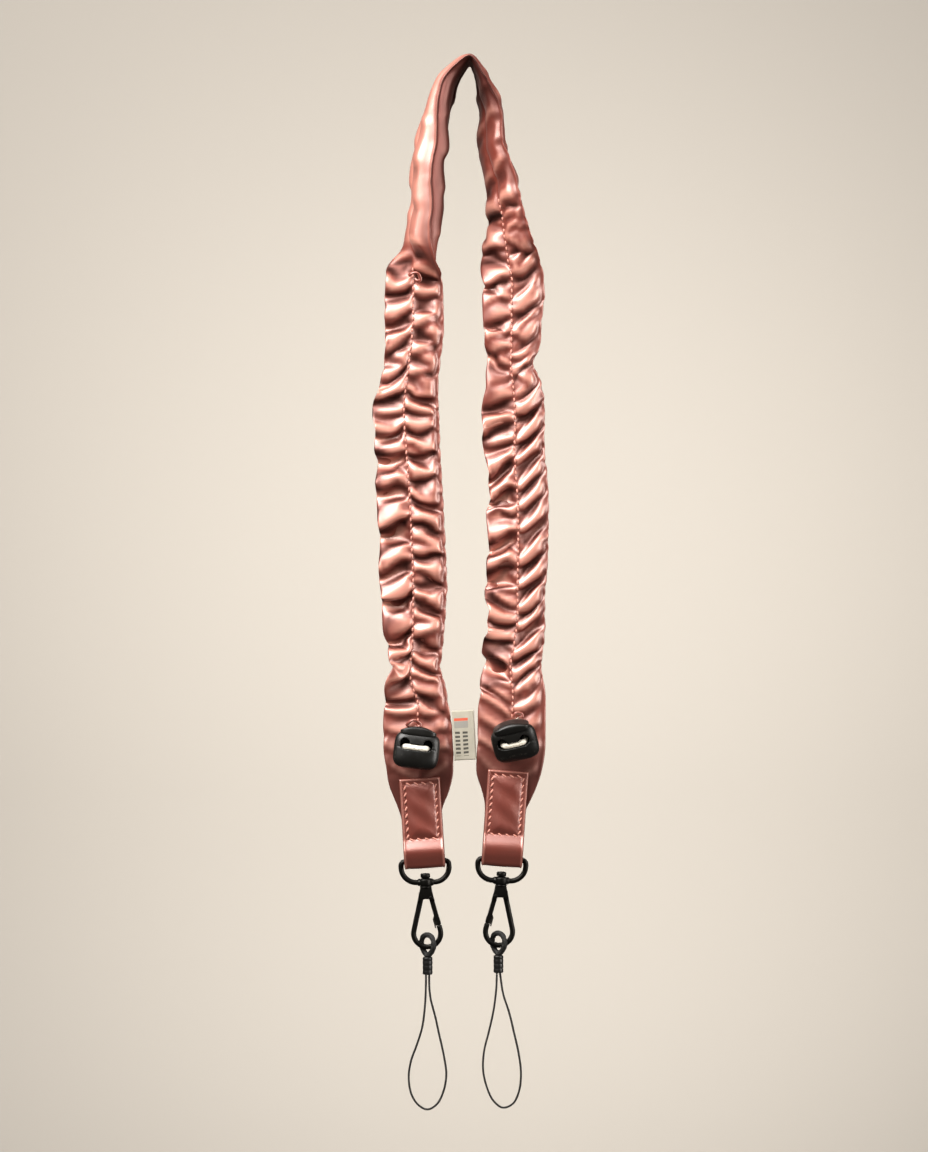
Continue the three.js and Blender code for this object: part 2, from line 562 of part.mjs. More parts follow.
function phoneLoop(side) {
  const points = LOOP_ROUTES[side].map((p) => new THREE.Vector3(...p));
  const curve = new THREE.CatmullRomCurve3(points, false, "centripetal");
  return meshOf(`phone_loop_${side}`, wire(curve, LOOP_CORD, 42, 6), blackCord);
}

// The stopper's body: a rounded block with two cord bores, a trough that joins them, and a pocket for the button.
function stopperBody(side) {
  const half = STOPPER_WIDTH / 2 - STOPPER_ROUND;
  const foot = STOPPER_FOOT + STOPPER_ROUND;
  const head = STOPPER_SHOULDER - STOPPER_ROUND + 0.8;
  const outline = new THREE.Shape();
  outline.moveTo(-half + 4, head);
  outline.quadraticCurveTo(-half + 0.6, head - 0.6, -half, head - 4.4);
  outline.lineTo(-half + 0.2, foot + 5.6);
  outline.bezierCurveTo(-half + 0.6, foot + 1.2, -half + 4.6, foot, -1, foot);
  outline.lineTo(1, foot);
  outline.bezierCurveTo(half - 4.6, foot, half - 0.6, foot + 1.2, half - 0.2, foot + 5.6);
  outline.lineTo(half, head - 4.4);
  outline.quadraticCurveTo(half - 0.6, head - 0.6, half - 4, head);
  let body = solidOf(plate(outline, STOPPER_DEPTH - 2 * STOPPER_ROUND, {
    bevelEnabled: true, bevelThickness: STOPPER_ROUND, bevelSize: STOPPER_ROUND, bevelSegments: 2, curveSegments: 4,
  }));
  const level = solidOf(new THREE.BoxGeometry(40, 40, 20), at(0, 0, STOPPER_SHOULDER + 10));
  const bore = new THREE.CylinderGeometry(BORE_RADIUS, BORE_RADIUS, STOPPER_DEPTH + 2, 16);
  const trough = new THREE.BoxGeometry(2 * BORE_OFFSET, TROUGH_DEPTH * 2, 2 * BORE_RADIUS - 1);
  const pocket = roundedSlab(BUTTON_WIDTH + 2 * GAP, BUTTON_DEPTH + 2 * GAP, BUTTON_TRAVEL + 3);
  body = body.subtract(level);
  for (const x of [-BORE_OFFSET, BORE_OFFSET]) body = body.subtract(solidOf(bore, at(x, 0, BORE_LEVEL)));
  body = body.subtract(solidOf(trough, at(0, -STOPPER_DEPTH / 2, BORE_LEVEL)));
  body = body.subtract(solidOf(pocket, at(0, 0, STOPPER_SHOULDER - BUTTON_TRAVEL - 2 * GAP)));
  return meshOf(`stopper_body_${side}`, geometryOf(body), blackPlastic);
}

// A slab with round corners, its foot at z = 0.
function roundedSlab(width, depth, height, bevel = 0) {
  const w = width / 2 - bevel;
  const d = depth / 2 - bevel;
  const corner = Math.min(w, d) * 0.6;
  const outline = new THREE.Shape();
  outline.moveTo(-w + corner, -d);
  outline.lineTo(w - corner, -d);
  outline.quadraticCurveTo(w, -d, w, -d + corner);
  outline.lineTo(w, d - corner);
  outline.quadraticCurveTo(w, d, w - corner, d);
  outline.lineTo(-w + corner, d);
  outline.quadraticCurveTo(-w, d, -w, d - corner);
  outline.lineTo(-w, -d + corner);
  outline.quadraticCurveTo(-w, -d, -w + corner, -d);
  const slab = new THREE.ExtrudeGeometry(outline, {
    depth: height - 2 * bevel, bevelEnabled: bevel > 0, bevelThickness: bevel, bevelSize: bevel,
    bevelSegments: 2, curveSegments: 4,
  });
  return slab.translate(0, 0, bevel);
}

function stopperButton(side) {
  const foot = STOPPER_SHOULDER - GAP;
  const button = roundedSlab(BUTTON_WIDTH, BUTTON_DEPTH, BUTTON_TOP - foot, 0.8);
  return meshOf(`stopper_button_${side}`, button.translate(0, 0, foot), blackPlastic);
}

// The drawcord's visible bight: out of one bore, across the trough and back into the other.
function drawcordBight(side) {
  const back = STOPPER_DEPTH / 2;
  const front = -STOPPER_DEPTH / 2 + DRAWCORD_RADIUS + 0.1;
  const low = BORE_LEVEL;
  const curve = new THREE.CatmullRomCurve3([
    [-BORE_OFFSET, back, low], [-BORE_OFFSET, back - 3, low], [-BORE_OFFSET, front + 2.4, low],
    [-BORE_OFFSET + 0.9, front + 0.6, low], [-BORE_OFFSET + 2.6, front, low], [0, front, low],
    [BORE_OFFSET - 2.6, front, low], [BORE_OFFSET - 0.9, front + 0.6, low],
    [BORE_OFFSET, front + 2.4, low], [BORE_OFFSET, back - 3, low], [BORE_OFFSET, back, low],
  ].map((p) => new THREE.Vector3(...p)), false, "centripetal");
  return meshOf(`drawcord_${side}`, wire(curve, DRAWCORD_RADIUS, 16), whiteCord);
}

function stopperGroup(side) {
  const { x, y, z, roll, pitch, yaw } = ENDS[side].stopper;
  const group = new THREE.Group();
  group.position.set(x, y, z);
  group.rotation.set(degrees(pitch), degrees(roll), degrees(yaw), "YXZ");
  group.add(stopperBody(side), stopperButton(side), drawcordBight(side));
  return group;
}

function endGroup(side) {
  const { tab: place, ring } = ENDS[side];
  const tab = new THREE.Group();
  tab.position.set(place.x, 0, ring.z);
  tab.rotation.y = degrees(place.lean);
  tab.add(endTab(side));

  const hanging = new THREE.Group();
  hanging.position.set(ring.x, 0, ring.z);
  hanging.rotation.y = degrees(ring.lean);
  hanging.add(swivelRing(side));
  const hook = new THREE.Group();
  hook.position.z = -RING_DROP - BOSS_HEIGHT / 2 - GAP;
  hook.add(snapHook(side), hookGate(side));
  hanging.add(hook);

  // The lanyard hangs straight down from the hook's bow.
  const bowFoot = hook.position.z - BOW_DROP - BOW_RADIUS;
  const lanyard = new THREE.Group();
  lanyard.position.set(0, 0, bowFoot);
  lanyard.rotation.y = -degrees(ring.lean);
  const clamp = ferrule(side);
  clamp.position.z = -EYE_DROP - GAP - FERRULE_HEIGHT / 2;
  const loop = phoneLoop(side);
  loop.position.z = clamp.position.z - FERRULE_HEIGHT / 2 - GAP;
  lanyard.add(lanyardEye(side), clamp, loop);
  hanging.add(lanyard);

  const group = new THREE.Group();
  group.add(tab, hanging, stopperGroup(side));
  return group;
}

// A folded woven label caught in the left leg's inner edge.
function sideLabel() {
  const label = new THREE.BoxGeometry(8.8, 1.1, 24);
  label.applyMatrix4(at(-2.9, 0, -322.7, 0, -3.2, 0));
  return meshOf("side_label", label, labelCloth);
}

const strap = new THREE.Group();
strap.add(satinSleeve(), endGroup("left"), endGroup("right"), sideLabel());

export default strap;
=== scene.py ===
# Ruched satin shoulder strap: a gathered sleeve with a stitched drawcord channel, and on each leg a cord stopper,
# a folded end tab, a swivel snap hook and a thin phone loop. Metres; the tables are in millimetres.
import math

import bmesh
import bpy
import numpy as np
from mathutils import Matrix, Vector


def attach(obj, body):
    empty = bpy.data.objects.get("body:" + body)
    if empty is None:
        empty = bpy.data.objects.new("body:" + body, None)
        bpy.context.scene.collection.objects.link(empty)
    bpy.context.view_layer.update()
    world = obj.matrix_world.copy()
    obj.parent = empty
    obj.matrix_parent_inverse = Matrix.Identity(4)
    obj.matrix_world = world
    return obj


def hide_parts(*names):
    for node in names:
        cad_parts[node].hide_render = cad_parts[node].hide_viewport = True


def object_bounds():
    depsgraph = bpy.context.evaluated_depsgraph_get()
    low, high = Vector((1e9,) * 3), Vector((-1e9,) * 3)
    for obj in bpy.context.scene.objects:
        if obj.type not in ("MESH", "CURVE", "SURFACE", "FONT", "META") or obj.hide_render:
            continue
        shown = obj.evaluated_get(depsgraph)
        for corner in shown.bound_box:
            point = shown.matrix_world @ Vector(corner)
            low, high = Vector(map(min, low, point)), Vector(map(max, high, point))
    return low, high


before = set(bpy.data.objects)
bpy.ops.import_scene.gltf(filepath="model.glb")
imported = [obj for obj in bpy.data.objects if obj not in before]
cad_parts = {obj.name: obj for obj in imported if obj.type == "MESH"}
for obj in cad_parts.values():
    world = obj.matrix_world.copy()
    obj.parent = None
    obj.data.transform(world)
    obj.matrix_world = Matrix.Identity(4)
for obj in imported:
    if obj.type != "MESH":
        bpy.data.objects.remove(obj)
solidBox = [[float(v) for v in corner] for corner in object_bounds()]
mm = 0.001
sides = ("left", "right")
scene = bpy.context.scene


# camera, backdrop and lights
studio = {
    "cameraAt": (-0.0029, -1.37, -0.247),
    "lens": 90.0,
    "sensor": 36.0,
    "backdropColor": (0.3, 0.279, 0.25, 1),
    "floorDrop": 0.26,      # below the strap's lowest point
    "wallBehind": 0.85,
    "wallTop": 2.4,
    "frontEdge": -3.0,
    "halfWide": 3.2,
    "bend": 0.35,           # radius of the sweep from floor to wall
    "bendSteps": 12,
    "paper": {"Roughness": 0.95, "Specular IOR Level": 0.1},
    "worldColor": (1.0, 0.95, 0.88, 1),
    "worldStrength": 0.08,
    "exposure": 0.0,
    # name: place, size across and up, power in watts, colour, aimed at
    "lights": {
        "keyLeft": ((-0.7, -0.6, 0.62), (0.9, 0.9), 47.0, (1.0, 0.97, 0.94), (0, 0, -0.22)),
        "topFront": ((0.1, -0.5, 0.75), (0.8, 0.4), 6.0, (1.0, 0.97, 0.94), (0, 0, -0.2)),
        "sideRight": ((0.95, -0.4, -0.1), (0.5, 0.9), 13.0, (1.0, 0.96, 0.92), (0, 0, -0.24)),
    },
    # a soft pool on the backdrop behind the strap
    "pool": {"at": (0.04, 0.14, -0.275), "to": (0.04, 0.85, -0.275), "power": 27.0, "cone": 108.0,
             "color": (1.0, 0.98, 0.95)},
}


def linkObject(name, data):
    piece = bpy.data.objects.new(name, data)
    scene.collection.objects.link(piece)
    return piece


def aimAt(piece, target):
    piece.rotation_euler = (Vector(target) - piece.location).to_track_quat("-Z", "Y").to_euler()


def makeCamera():
    data = bpy.data.cameras.new("studioCamera")
    data.lens = studio["lens"]
    data.sensor_width = studio["sensor"]
    camera = linkObject("studioCamera", data)
    camera.location = studio["cameraAt"]
    camera.rotation_euler = (math.pi / 2, 0, 0)
    scene.camera = camera


def makeLights():
    for name, (place, size, power, color, target) in studio["lights"].items():
        data = bpy.data.lights.new(name, "AREA")
        data.shape = "RECTANGLE"
        data.size, data.size_y = size
        data.energy = power
        data.color = color
        lamp = linkObject(name, data)
        lamp.location = place
        aimAt(lamp, target)
    pool = studio["pool"]
    data = bpy.data.lights.new("wallPool", "SPOT")
    data.energy = pool["power"]
    data.color = pool["color"]
    data.spot_size = math.radians(pool["cone"])
    data.spot_blend = 1.0
    data.shadow_soft_size = 0.1
    lamp = linkObject("wallPool", data)
    lamp.location = pool["at"]
    lamp.visible_camera = False
    aimAt(lamp, pool["to"])
    world = bpy.data.worlds.new("studioWorld")
    world.use_nodes = True
    background = world.node_tree.nodes["Background"]
    background.inputs["Color"].default_value = studio["worldColor"]
    background.inputs["Strength"].default_value = studio["worldStrength"]
    scene.world = world
    scene.view_settings.view_transform = "Standard"
    scene.view_settings.exposure = studio["exposure"]


def makeBackdrop():
    floor = solidBox[0][2] - studio["floorDrop"]
    wall, bend, half = studio["wallBehind"], studio["bend"], studio["halfWide"]
    outline = [(studio["frontEdge"], floor)]
    for step in range(studio["bendSteps"] + 1):
        angle = math.pi / 2 * step / studio["bendSteps"]
        outline.append((wall - bend + bend * math.sin(angle), floor + bend - bend * math.cos(angle)))
    outline.append((wall, studio["wallTop"]))
    points = [(x, y, z) for y, z in outline for x in (-half, half)]
    faces = [(2 * i, 2 * i + 1, 2 * i + 3, 2 * i + 2) for i in range(len(outline) - 1)]
    mesh = bpy.data.meshes.new("paperSweep")
    mesh.from_pydata(points, [], faces)
    mesh.polygons.foreach_set("use_smooth", [True] * len(faces))
    sweep = linkObject("paperSweep", mesh)
    sweep.visible_glossy = False        # black flags keep the paper out of the satin
    material = bpy.data.materials.new("palePaper")
    material.use_nodes = True
    shader = material.node_tree.nodes["Principled BSDF"]
    shader.inputs["Base Color"].default_value = studio["backdropColor"]
    for key, value in studio["paper"].items():
        shader.inputs[key].default_value = value
    nodes, links = material.node_tree.nodes, material.node_tree.links
    clear = nodes.new("ShaderNodeBsdfTransparent")      # from behind the paper is clear
    choice = nodes.new("ShaderNodeMixShader")
    facing = nodes.new("ShaderNodeNewGeometry")
    links.new(facing.outputs["Backfacing"], choice.inputs["Fac"])
    links.new(shader.outputs["BSDF"], choice.inputs[1])
    links.new(clear.outputs["BSDF"], choice.inputs[2])
    links.new(choice.outputs["Shader"], nodes["Material Output"].inputs["Surface"])
    mesh.materials.append(material)


makeCamera()
makeLights()
makeBackdrop()
print("studio ready")


# where the hanging pieces sit
places = {
    "left": {
        "tab": (-21.6, 0, -382.6), "tabLean": -3.6,
        "ring": (-21.5, 0, -382.6), "ringLean": -1.8,
        "gateSide": 1,
        "stopper": (-25.2, -9.2, -328), "stopperTurn": (-6, 7, 0),      # pitch, roll, yaw
    },
    "right": {
        "tab": (15.2, 0, -381.8), "tabLean": 4,
        "ring": (15.2, 0, -381.8), "ringLean": 2.4,
        "gateSide": -1,
        "stopper": (20.9, -11.4, -324.6), "stopperTurn": (22, -15, -6),
    },
}
drops = {"hook": -12.2, "bowFoot": -40.85, "loop": -54.25}     # below the ring's upper bar


def matrixAt(place, pitch=0, roll=0, yaw=0):
    # turns about x (pitch), then y (roll), then z (yaw), as the piece is hung
    turn = Matrix.Rotation(math.radians(roll), 4, "Y") @ Matrix.Rotation(math.radians(pitch), 4, "X")
    turn = turn @ Matrix.Rotation(math.radians(yaw), 4, "Z")
    return Matrix.Translation(Vector(place) * mm) @ turn


def tabFrame(side):
    return matrixAt(places[side]["tab"], roll=places[side]["tabLean"])


def ringFrame(side):
    return matrixAt(places[side]["ring"], roll=places[side]["ringLean"])


def hookFrame(side):
    return ringFrame(side) @ Matrix.Translation((0, 0, drops["hook"] * mm))


def lanyardFrame(side):
    foot = ringFrame(side) @ Vector((0, 0, drops["bowFoot"] * mm))
    return Matrix.Translation(foot)


def stopperFrame(side):
    pitch, roll, yaw = places[side]["stopperTurn"]
    return matrixAt(places[side]["stopper"], pitch, roll, yaw)


def lengthAlong(line):
    # how far each point of a line is from its start
    return np.concatenate([[0], np.cumsum(np.linalg.norm(np.diff(line, axis=0), axis=1))])


def evenSteps(line, count, closed):
    gone = lengthAlong(line)
    even = np.linspace(0, gone[-1], count + (1 if closed else 0))
    steps = np.stack([np.interp(even, gone, line[:, k]) for k in range(3)], axis=1)
    return steps[:-1] if closed else steps


curveSteps = 24      # points worked out between two knots of a curve


def smoothLine(points, count, closed=False):
    # a centripetal curve through the points, at even steps along its length
    knots = [np.array(p, float) for p in points]
    if closed:
        knots = [knots[-1]] + knots + knots[:2]
    else:
        knots = [2 * knots[0] - knots[1]] + knots + [2 * knots[-1] - knots[-2]]
    dense = []
    for a, b, c, d in zip(knots, knots[1:], knots[2:], knots[3:]):
        ta = 0.0
        tb = ta + np.linalg.norm(b - a) ** 0.5
        tc = tb + np.linalg.norm(c - b) ** 0.5
        td = tc + np.linalg.norm(d - c) ** 0.5
        for t in np.linspace(tb, tc, curveSteps, endpoint=False):
            ab = (tb - t) / (tb - ta) * a + (t - ta) / (tb - ta) * b
            bc = (tc - t) / (tc - tb) * b + (t - tb) / (tc - tb) * c
            cd = (td - t) / (td - tc) * c + (t - tc) / (td - tc) * d
            abc = (tc - t) / (tc - ta) * ab + (t - ta) / (tc - ta) * bc
            bcd = (td - t) / (td - tb) * bc + (t - tb) / (td - tb) * cd
            dense.append((tc - t) / (tc - tb) * abc + (t - tb) / (tc - tb) * bcd)
    dense.append(knots[-2])
    return evenSteps(np.array(dense), count, closed)


# phone loops: thin braided cord from the ferrule's foot round and back into it
phoneLoops = {
    "pointSize": 0.001,     # the bounding box takes in this much in metres round every point
    "diameter": 1.0,
    "points": 140,
    "routes": {
        "left": [
            (-0.75, 0, 0), (-0.85, 0, -7), (-1.3, 0.2, -15), (-2.6, 0.5, -25), (-5.2, 0.8, -33.5), (-7.9, 0.9, -41),
            (-9, 0.8, -49), (-7.6, 0.5, -57), (-4.2, 0.2, -62), (0, 0, -63.9), (4.4, -0.2, -61.4),
            (7.6, -0.5, -55), (8.9, -0.8, -47), (7.8, -0.9, -38.5), (5.6, -0.8, -28.5), (3.6, -0.5, -19.5),
            (1.5, -0.2, -11.5), (0.85, 0, -6), (0.75, 0, 0),
        ],
        "right": [
            (-0.75, 0, 0), (-1.1, 0, -8), (-2.4, 0.2, -18), (-4.6, 0.5, -28), (-6.8, 0.8, -37), (-7.3, 0.9, -46),
            (-5.6, 0.8, -54), (-2.6, 0.4, -60.4), (2, 0.1, -63.9), (6.8, -0.2, -62), (9.6, -0.5, -56.6),
            (10.7, -0.8, -48), (9.6, -0.9, -38), (7.6, -0.8, -29), (5.2, -0.5, -19), (2.2, -0.2, -9.5), (0.75, 0, 0),
        ],
    },
}
blackPieces = {}    # they get their finish further down, once it is made


def makePhoneLoop(side):
    drop = Vector((0, 0, (drops["loop"] - drops["bowFoot"]) * mm))
    start = lanyardFrame(side).translation + drop
    line = [start + Vector(p) * mm for p in smoothLine(phoneLoops["routes"][side], phoneLoops["points"])]
    data = bpy.data.curves.new(f"phoneLoop_{side}", "CURVE")
    data.dimensions = "3D"
    data.bevel_depth = phoneLoops["diameter"] / 2 * mm / phoneLoops["pointSize"]
    data.bevel_resolution = 3
    spline = data.splines.new("POLY")
    spline.points.add(len(line) - 1)
    for point, place in zip(spline.points, line):
        point.co = (*place, 1)
        point.radius = phoneLoops["pointSize"]
    cord = linkObject(f"phoneLoop_{side}", data)
    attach(cord, f"hook_{side}")
    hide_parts(f"phone_loop_{side}")
    blackPieces[f"phoneLoop_{side}"] = cord


for side in sides:
    makePhoneLoop(side)


# shared effects, as node groups
def newGroup(name, inputs, outputs):
    group = bpy.data.node_groups.new(name, "ShaderNodeTree")
    for label, kind, value in inputs:
        socket = group.interface.new_socket(label, in_out="INPUT", socket_type=kind)
        socket.default_value = value
    for label, kind in outputs:
        group.interface.new_socket(label, in_out="OUTPUT", socket_type=kind)
    return group, group.nodes.new("NodeGroupInput"), group.nodes.new("NodeGroupOutput")


def addNode(tree, kind, settings=None, values=None):
    node = tree.nodes.new(kind)
    for key, value in (settings or {}).items():
        setattr(node, key, value)
    for key, value in (values or {}).items():
        node.inputs[key].default_value = value
    return node


def mathNode(tree, operation, first, second=None, clamp=False):
    node = addNode(tree, "ShaderNodeMath", {"operation": operation, "use_clamp": clamp})
    for socket, value in zip(node.inputs, (first, second)):
        if isinstance(value, (int, float)):
            socket.default_value = value
        elif value is not None:
            tree.links.new(value, socket)
    return node.outputs[0]


def mixColor(tree, mask, first, second):
    node = addNode(tree, "ShaderNodeMix", {"data_type": "RGBA"})
    for socket, value in ((node.inputs[0], mask), (node.inputs[6], first), (node.inputs[7], second)):
        if isinstance(value, (int, float, tuple)):
            socket.default_value = value
        else:
            tree.links.new(value, socket)
    return node.outputs[2]


def makeMottleGroup():
    # slow colour and gloss drift over a surface
    group, given, out = newGroup("surfaceMottle", [
        ("Color", "NodeSocketColor", (0.5, 0.5, 0.5, 1)), ("Dark Color", "NodeSocketColor", (0.4, 0.4, 0.4, 1)),
        ("Size", "NodeSocketFloat", 200.0), ("Amount", "NodeSocketFloat", 0.5),
        ("Roughness", "NodeSocketFloat", 0.5), ("Roughness Drift", "NodeSocketFloat", 0.1),
    ], [("Color", "NodeSocketColor"), ("Roughness", "NodeSocketFloat")])
    coords = addNode(group, "ShaderNodeTexCoord")
    noise = addNode(group, "ShaderNodeTexNoise", {}, {"Detail": 4.0, "Roughness": 0.6})
    group.links.new(coords.outputs["Object"], noise.inputs["Vector"])
    group.links.new(given.outputs["Size"], noise.inputs["Scale"])
    drift = mathNode(group, "MULTIPLY_ADD", noise.outputs["Fac"], 2.4)
    drift.node.inputs[2].default_value = -0.7
    drift.node.use_clamp = True
    mask = mathNode(group, "MULTIPLY", drift, given.outputs["Amount"])
    group.links.new(mixColor(group, mask, given.outputs["Color"], given.outputs["Dark Color"]), out.inputs["Color"])
    rough = mathNode(group, "MULTIPLY", drift, given.outputs["Roughness Drift"])
    group.links.new(mathNode(group, "ADD", rough, given.outputs["Roughness"]), out.inputs["Roughness"])
    return group


def makeWeaveGroup():
    # crossed threads that follow the piece's own cloth coordinates
    group, given, out = newGroup("threadWeave", [
        ("Threads", "NodeSocketFloat", 2.0), ("Cross", "NodeSocketFloat", 1.0), ("Slub", "NodeSocketFloat", 0.3),
    ], [("Height", "NodeSocketFloat")])
    cloth = addNode(group, "ShaderNodeUVMap", {"uv_map": "cloth"})
    warp = addNode(group, "ShaderNodeTexWave", {"bands_direction": "X"}, {"Distortion": 0.6, "Detail": 1.0})
    weft = addNode(group, "ShaderNodeTexWave", {"bands_direction": "Y"}, {"Distortion": 0.6, "Detail": 1.0})
    slub = addNode(group, "ShaderNodeTexNoise", {}, {"Detail": 3.0})
    for node in (warp, weft, slub):
        group.links.new(cloth.outputs["UV"], node.inputs["Vector"])
        group.links.new(given.outputs["Threads"], node.inputs["Scale"])
    crossed = mathNode(group, "MULTIPLY", weft.outputs["Fac"], given.outputs["Cross"])
    threads = mathNode(group, "ADD", warp.outputs["Fac"], crossed)
    uneven = mathNode(group, "MULTIPLY", slub.outputs["Fac"], given.outputs["Slub"])
    group.links.new(mathNode(group, "ADD", threads, uneven), out.inputs["Height"])
    return group


def makeGrainGroup():
    # fine cast or moulded grain with a few larger marks
    group, given, out = newGroup("mouldGrain", [
        ("Grain Size", "NodeSocketFloat", 2600.0), ("Mark Size", "NodeSocketFloat", 420.0),
        ("Marks", "NodeSocketFloat", 0.5),
    ], [("Height", "NodeSocketFloat"), ("Marks", "NodeSocketFloat")])
    coords = addNode(group, "ShaderNodeTexCoord")
    fine = addNode(group, "ShaderNodeTexNoise", {}, {"Detail": 2.0})
    large = addNode(group, "ShaderNodeTexNoise", {}, {"Detail": 5.0, "Roughness": 0.7})
    for node, size in ((fine, "Grain Size"), (large, "Mark Size")):
        group.links.new(coords.outputs["Object"], node.inputs["Vector"])
        group.links.new(given.outputs[size], node.inputs["Scale"])
    scuffs = addNode(group, "ShaderNodeMapRange", {}, {"From Min": 0.58, "From Max": 0.74})
    group.links.new(large.outputs["Fac"], scuffs.inputs["Value"])
    marks = mathNode(group, "MULTIPLY", scuffs.outputs["Result"], given.outputs["Marks"])
    group.links.new(mathNode(group, "SUBTRACT", fine.outputs["Fac"], marks), out.inputs["Height"])
    group.links.new(marks, out.inputs["Marks"])
    return group


def makeWearGroup():
    # where raised edges are rubbed
    group, given, out = newGroup("edgeWear", [
        ("Edge From", "NodeSocketFloat", 0.54), ("Edge To", "NodeSocketFloat", 0.62),
        ("Patchy", "NodeSocketFloat", 0.6),
    ], [("Wear", "NodeSocketFloat")])
    shape = addNode(group, "ShaderNodeNewGeometry")
    coords = addNode(group, "ShaderNodeTexCoord")
    patches = addNode(group, "ShaderNodeTexNoise", {}, {"Scale": 700.0, "Detail": 3.0})
    group.links.new(coords.outputs["Object"], patches.inputs["Vector"])
    edge = addNode(group, "ShaderNodeMapRange")
    group.links.new(shape.outputs["Pointiness"], edge.inputs["Value"])
    group.links.new(given.outputs["Edge From"], edge.inputs["From Min"])
    group.links.new(given.outputs["Edge To"], edge.inputs["From Max"])
    broken = mathNode(group, "MULTIPLY", patches.outputs["Fac"], given.outputs["Patchy"])
    left = mathNode(group, "SUBTRACT", edge.outputs["Result"], broken, clamp=True)
    group.links.new(left, out.inputs["Wear"])
    return group


surfaceMottle = makeMottleGroup()
threadWeave = makeWeaveGroup()
mouldGrain = makeGrainGroup()
edgeWear = makeWearGroup()


def placeGroup(tree, group, values):
    return addNode(tree, "ShaderNodeGroup", {"node_tree": group}, values)


def newFinish(name, values):
    # a material with its shader set and its colour and gloss drift placed
    material = bpy.data.materials.new(name)
    material.use_nodes = True
    tree = material.node_tree
    shader = tree.nodes["Principled BSDF"]
    for key, value in values["shader"].items():
        shader.inputs[key].default_value = value
    size, amount, rough, drift = values["mottle"]
    mottle = placeGroup(tree, surfaceMottle, {
        "Color": values["color"], "Dark Color": values["dark"], "Size": size, "Amount": amount,
        "Roughness": rough, "Roughness Drift": drift})
    tree.links.new(mottle.outputs["Color"], shader.inputs["Base Color"])
    tree.links.new(mottle.outputs["Roughness"], shader.inputs["Roughness"])
    return material, tree, shader, mottle


def addBump(tree, shader, height, strength, distance, below=None):
    bump = addNode(tree, "ShaderNodeBump", {}, {"Strength": strength, "Distance": distance})
    tree.links.new(height, bump.inputs["Height"])
    if below:
        tree.links.new(below.outputs["Normal"], bump.inputs["Normal"])
    tree.links.new(bump.outputs["Normal"], shader.inputs["Normal"])
    return bump


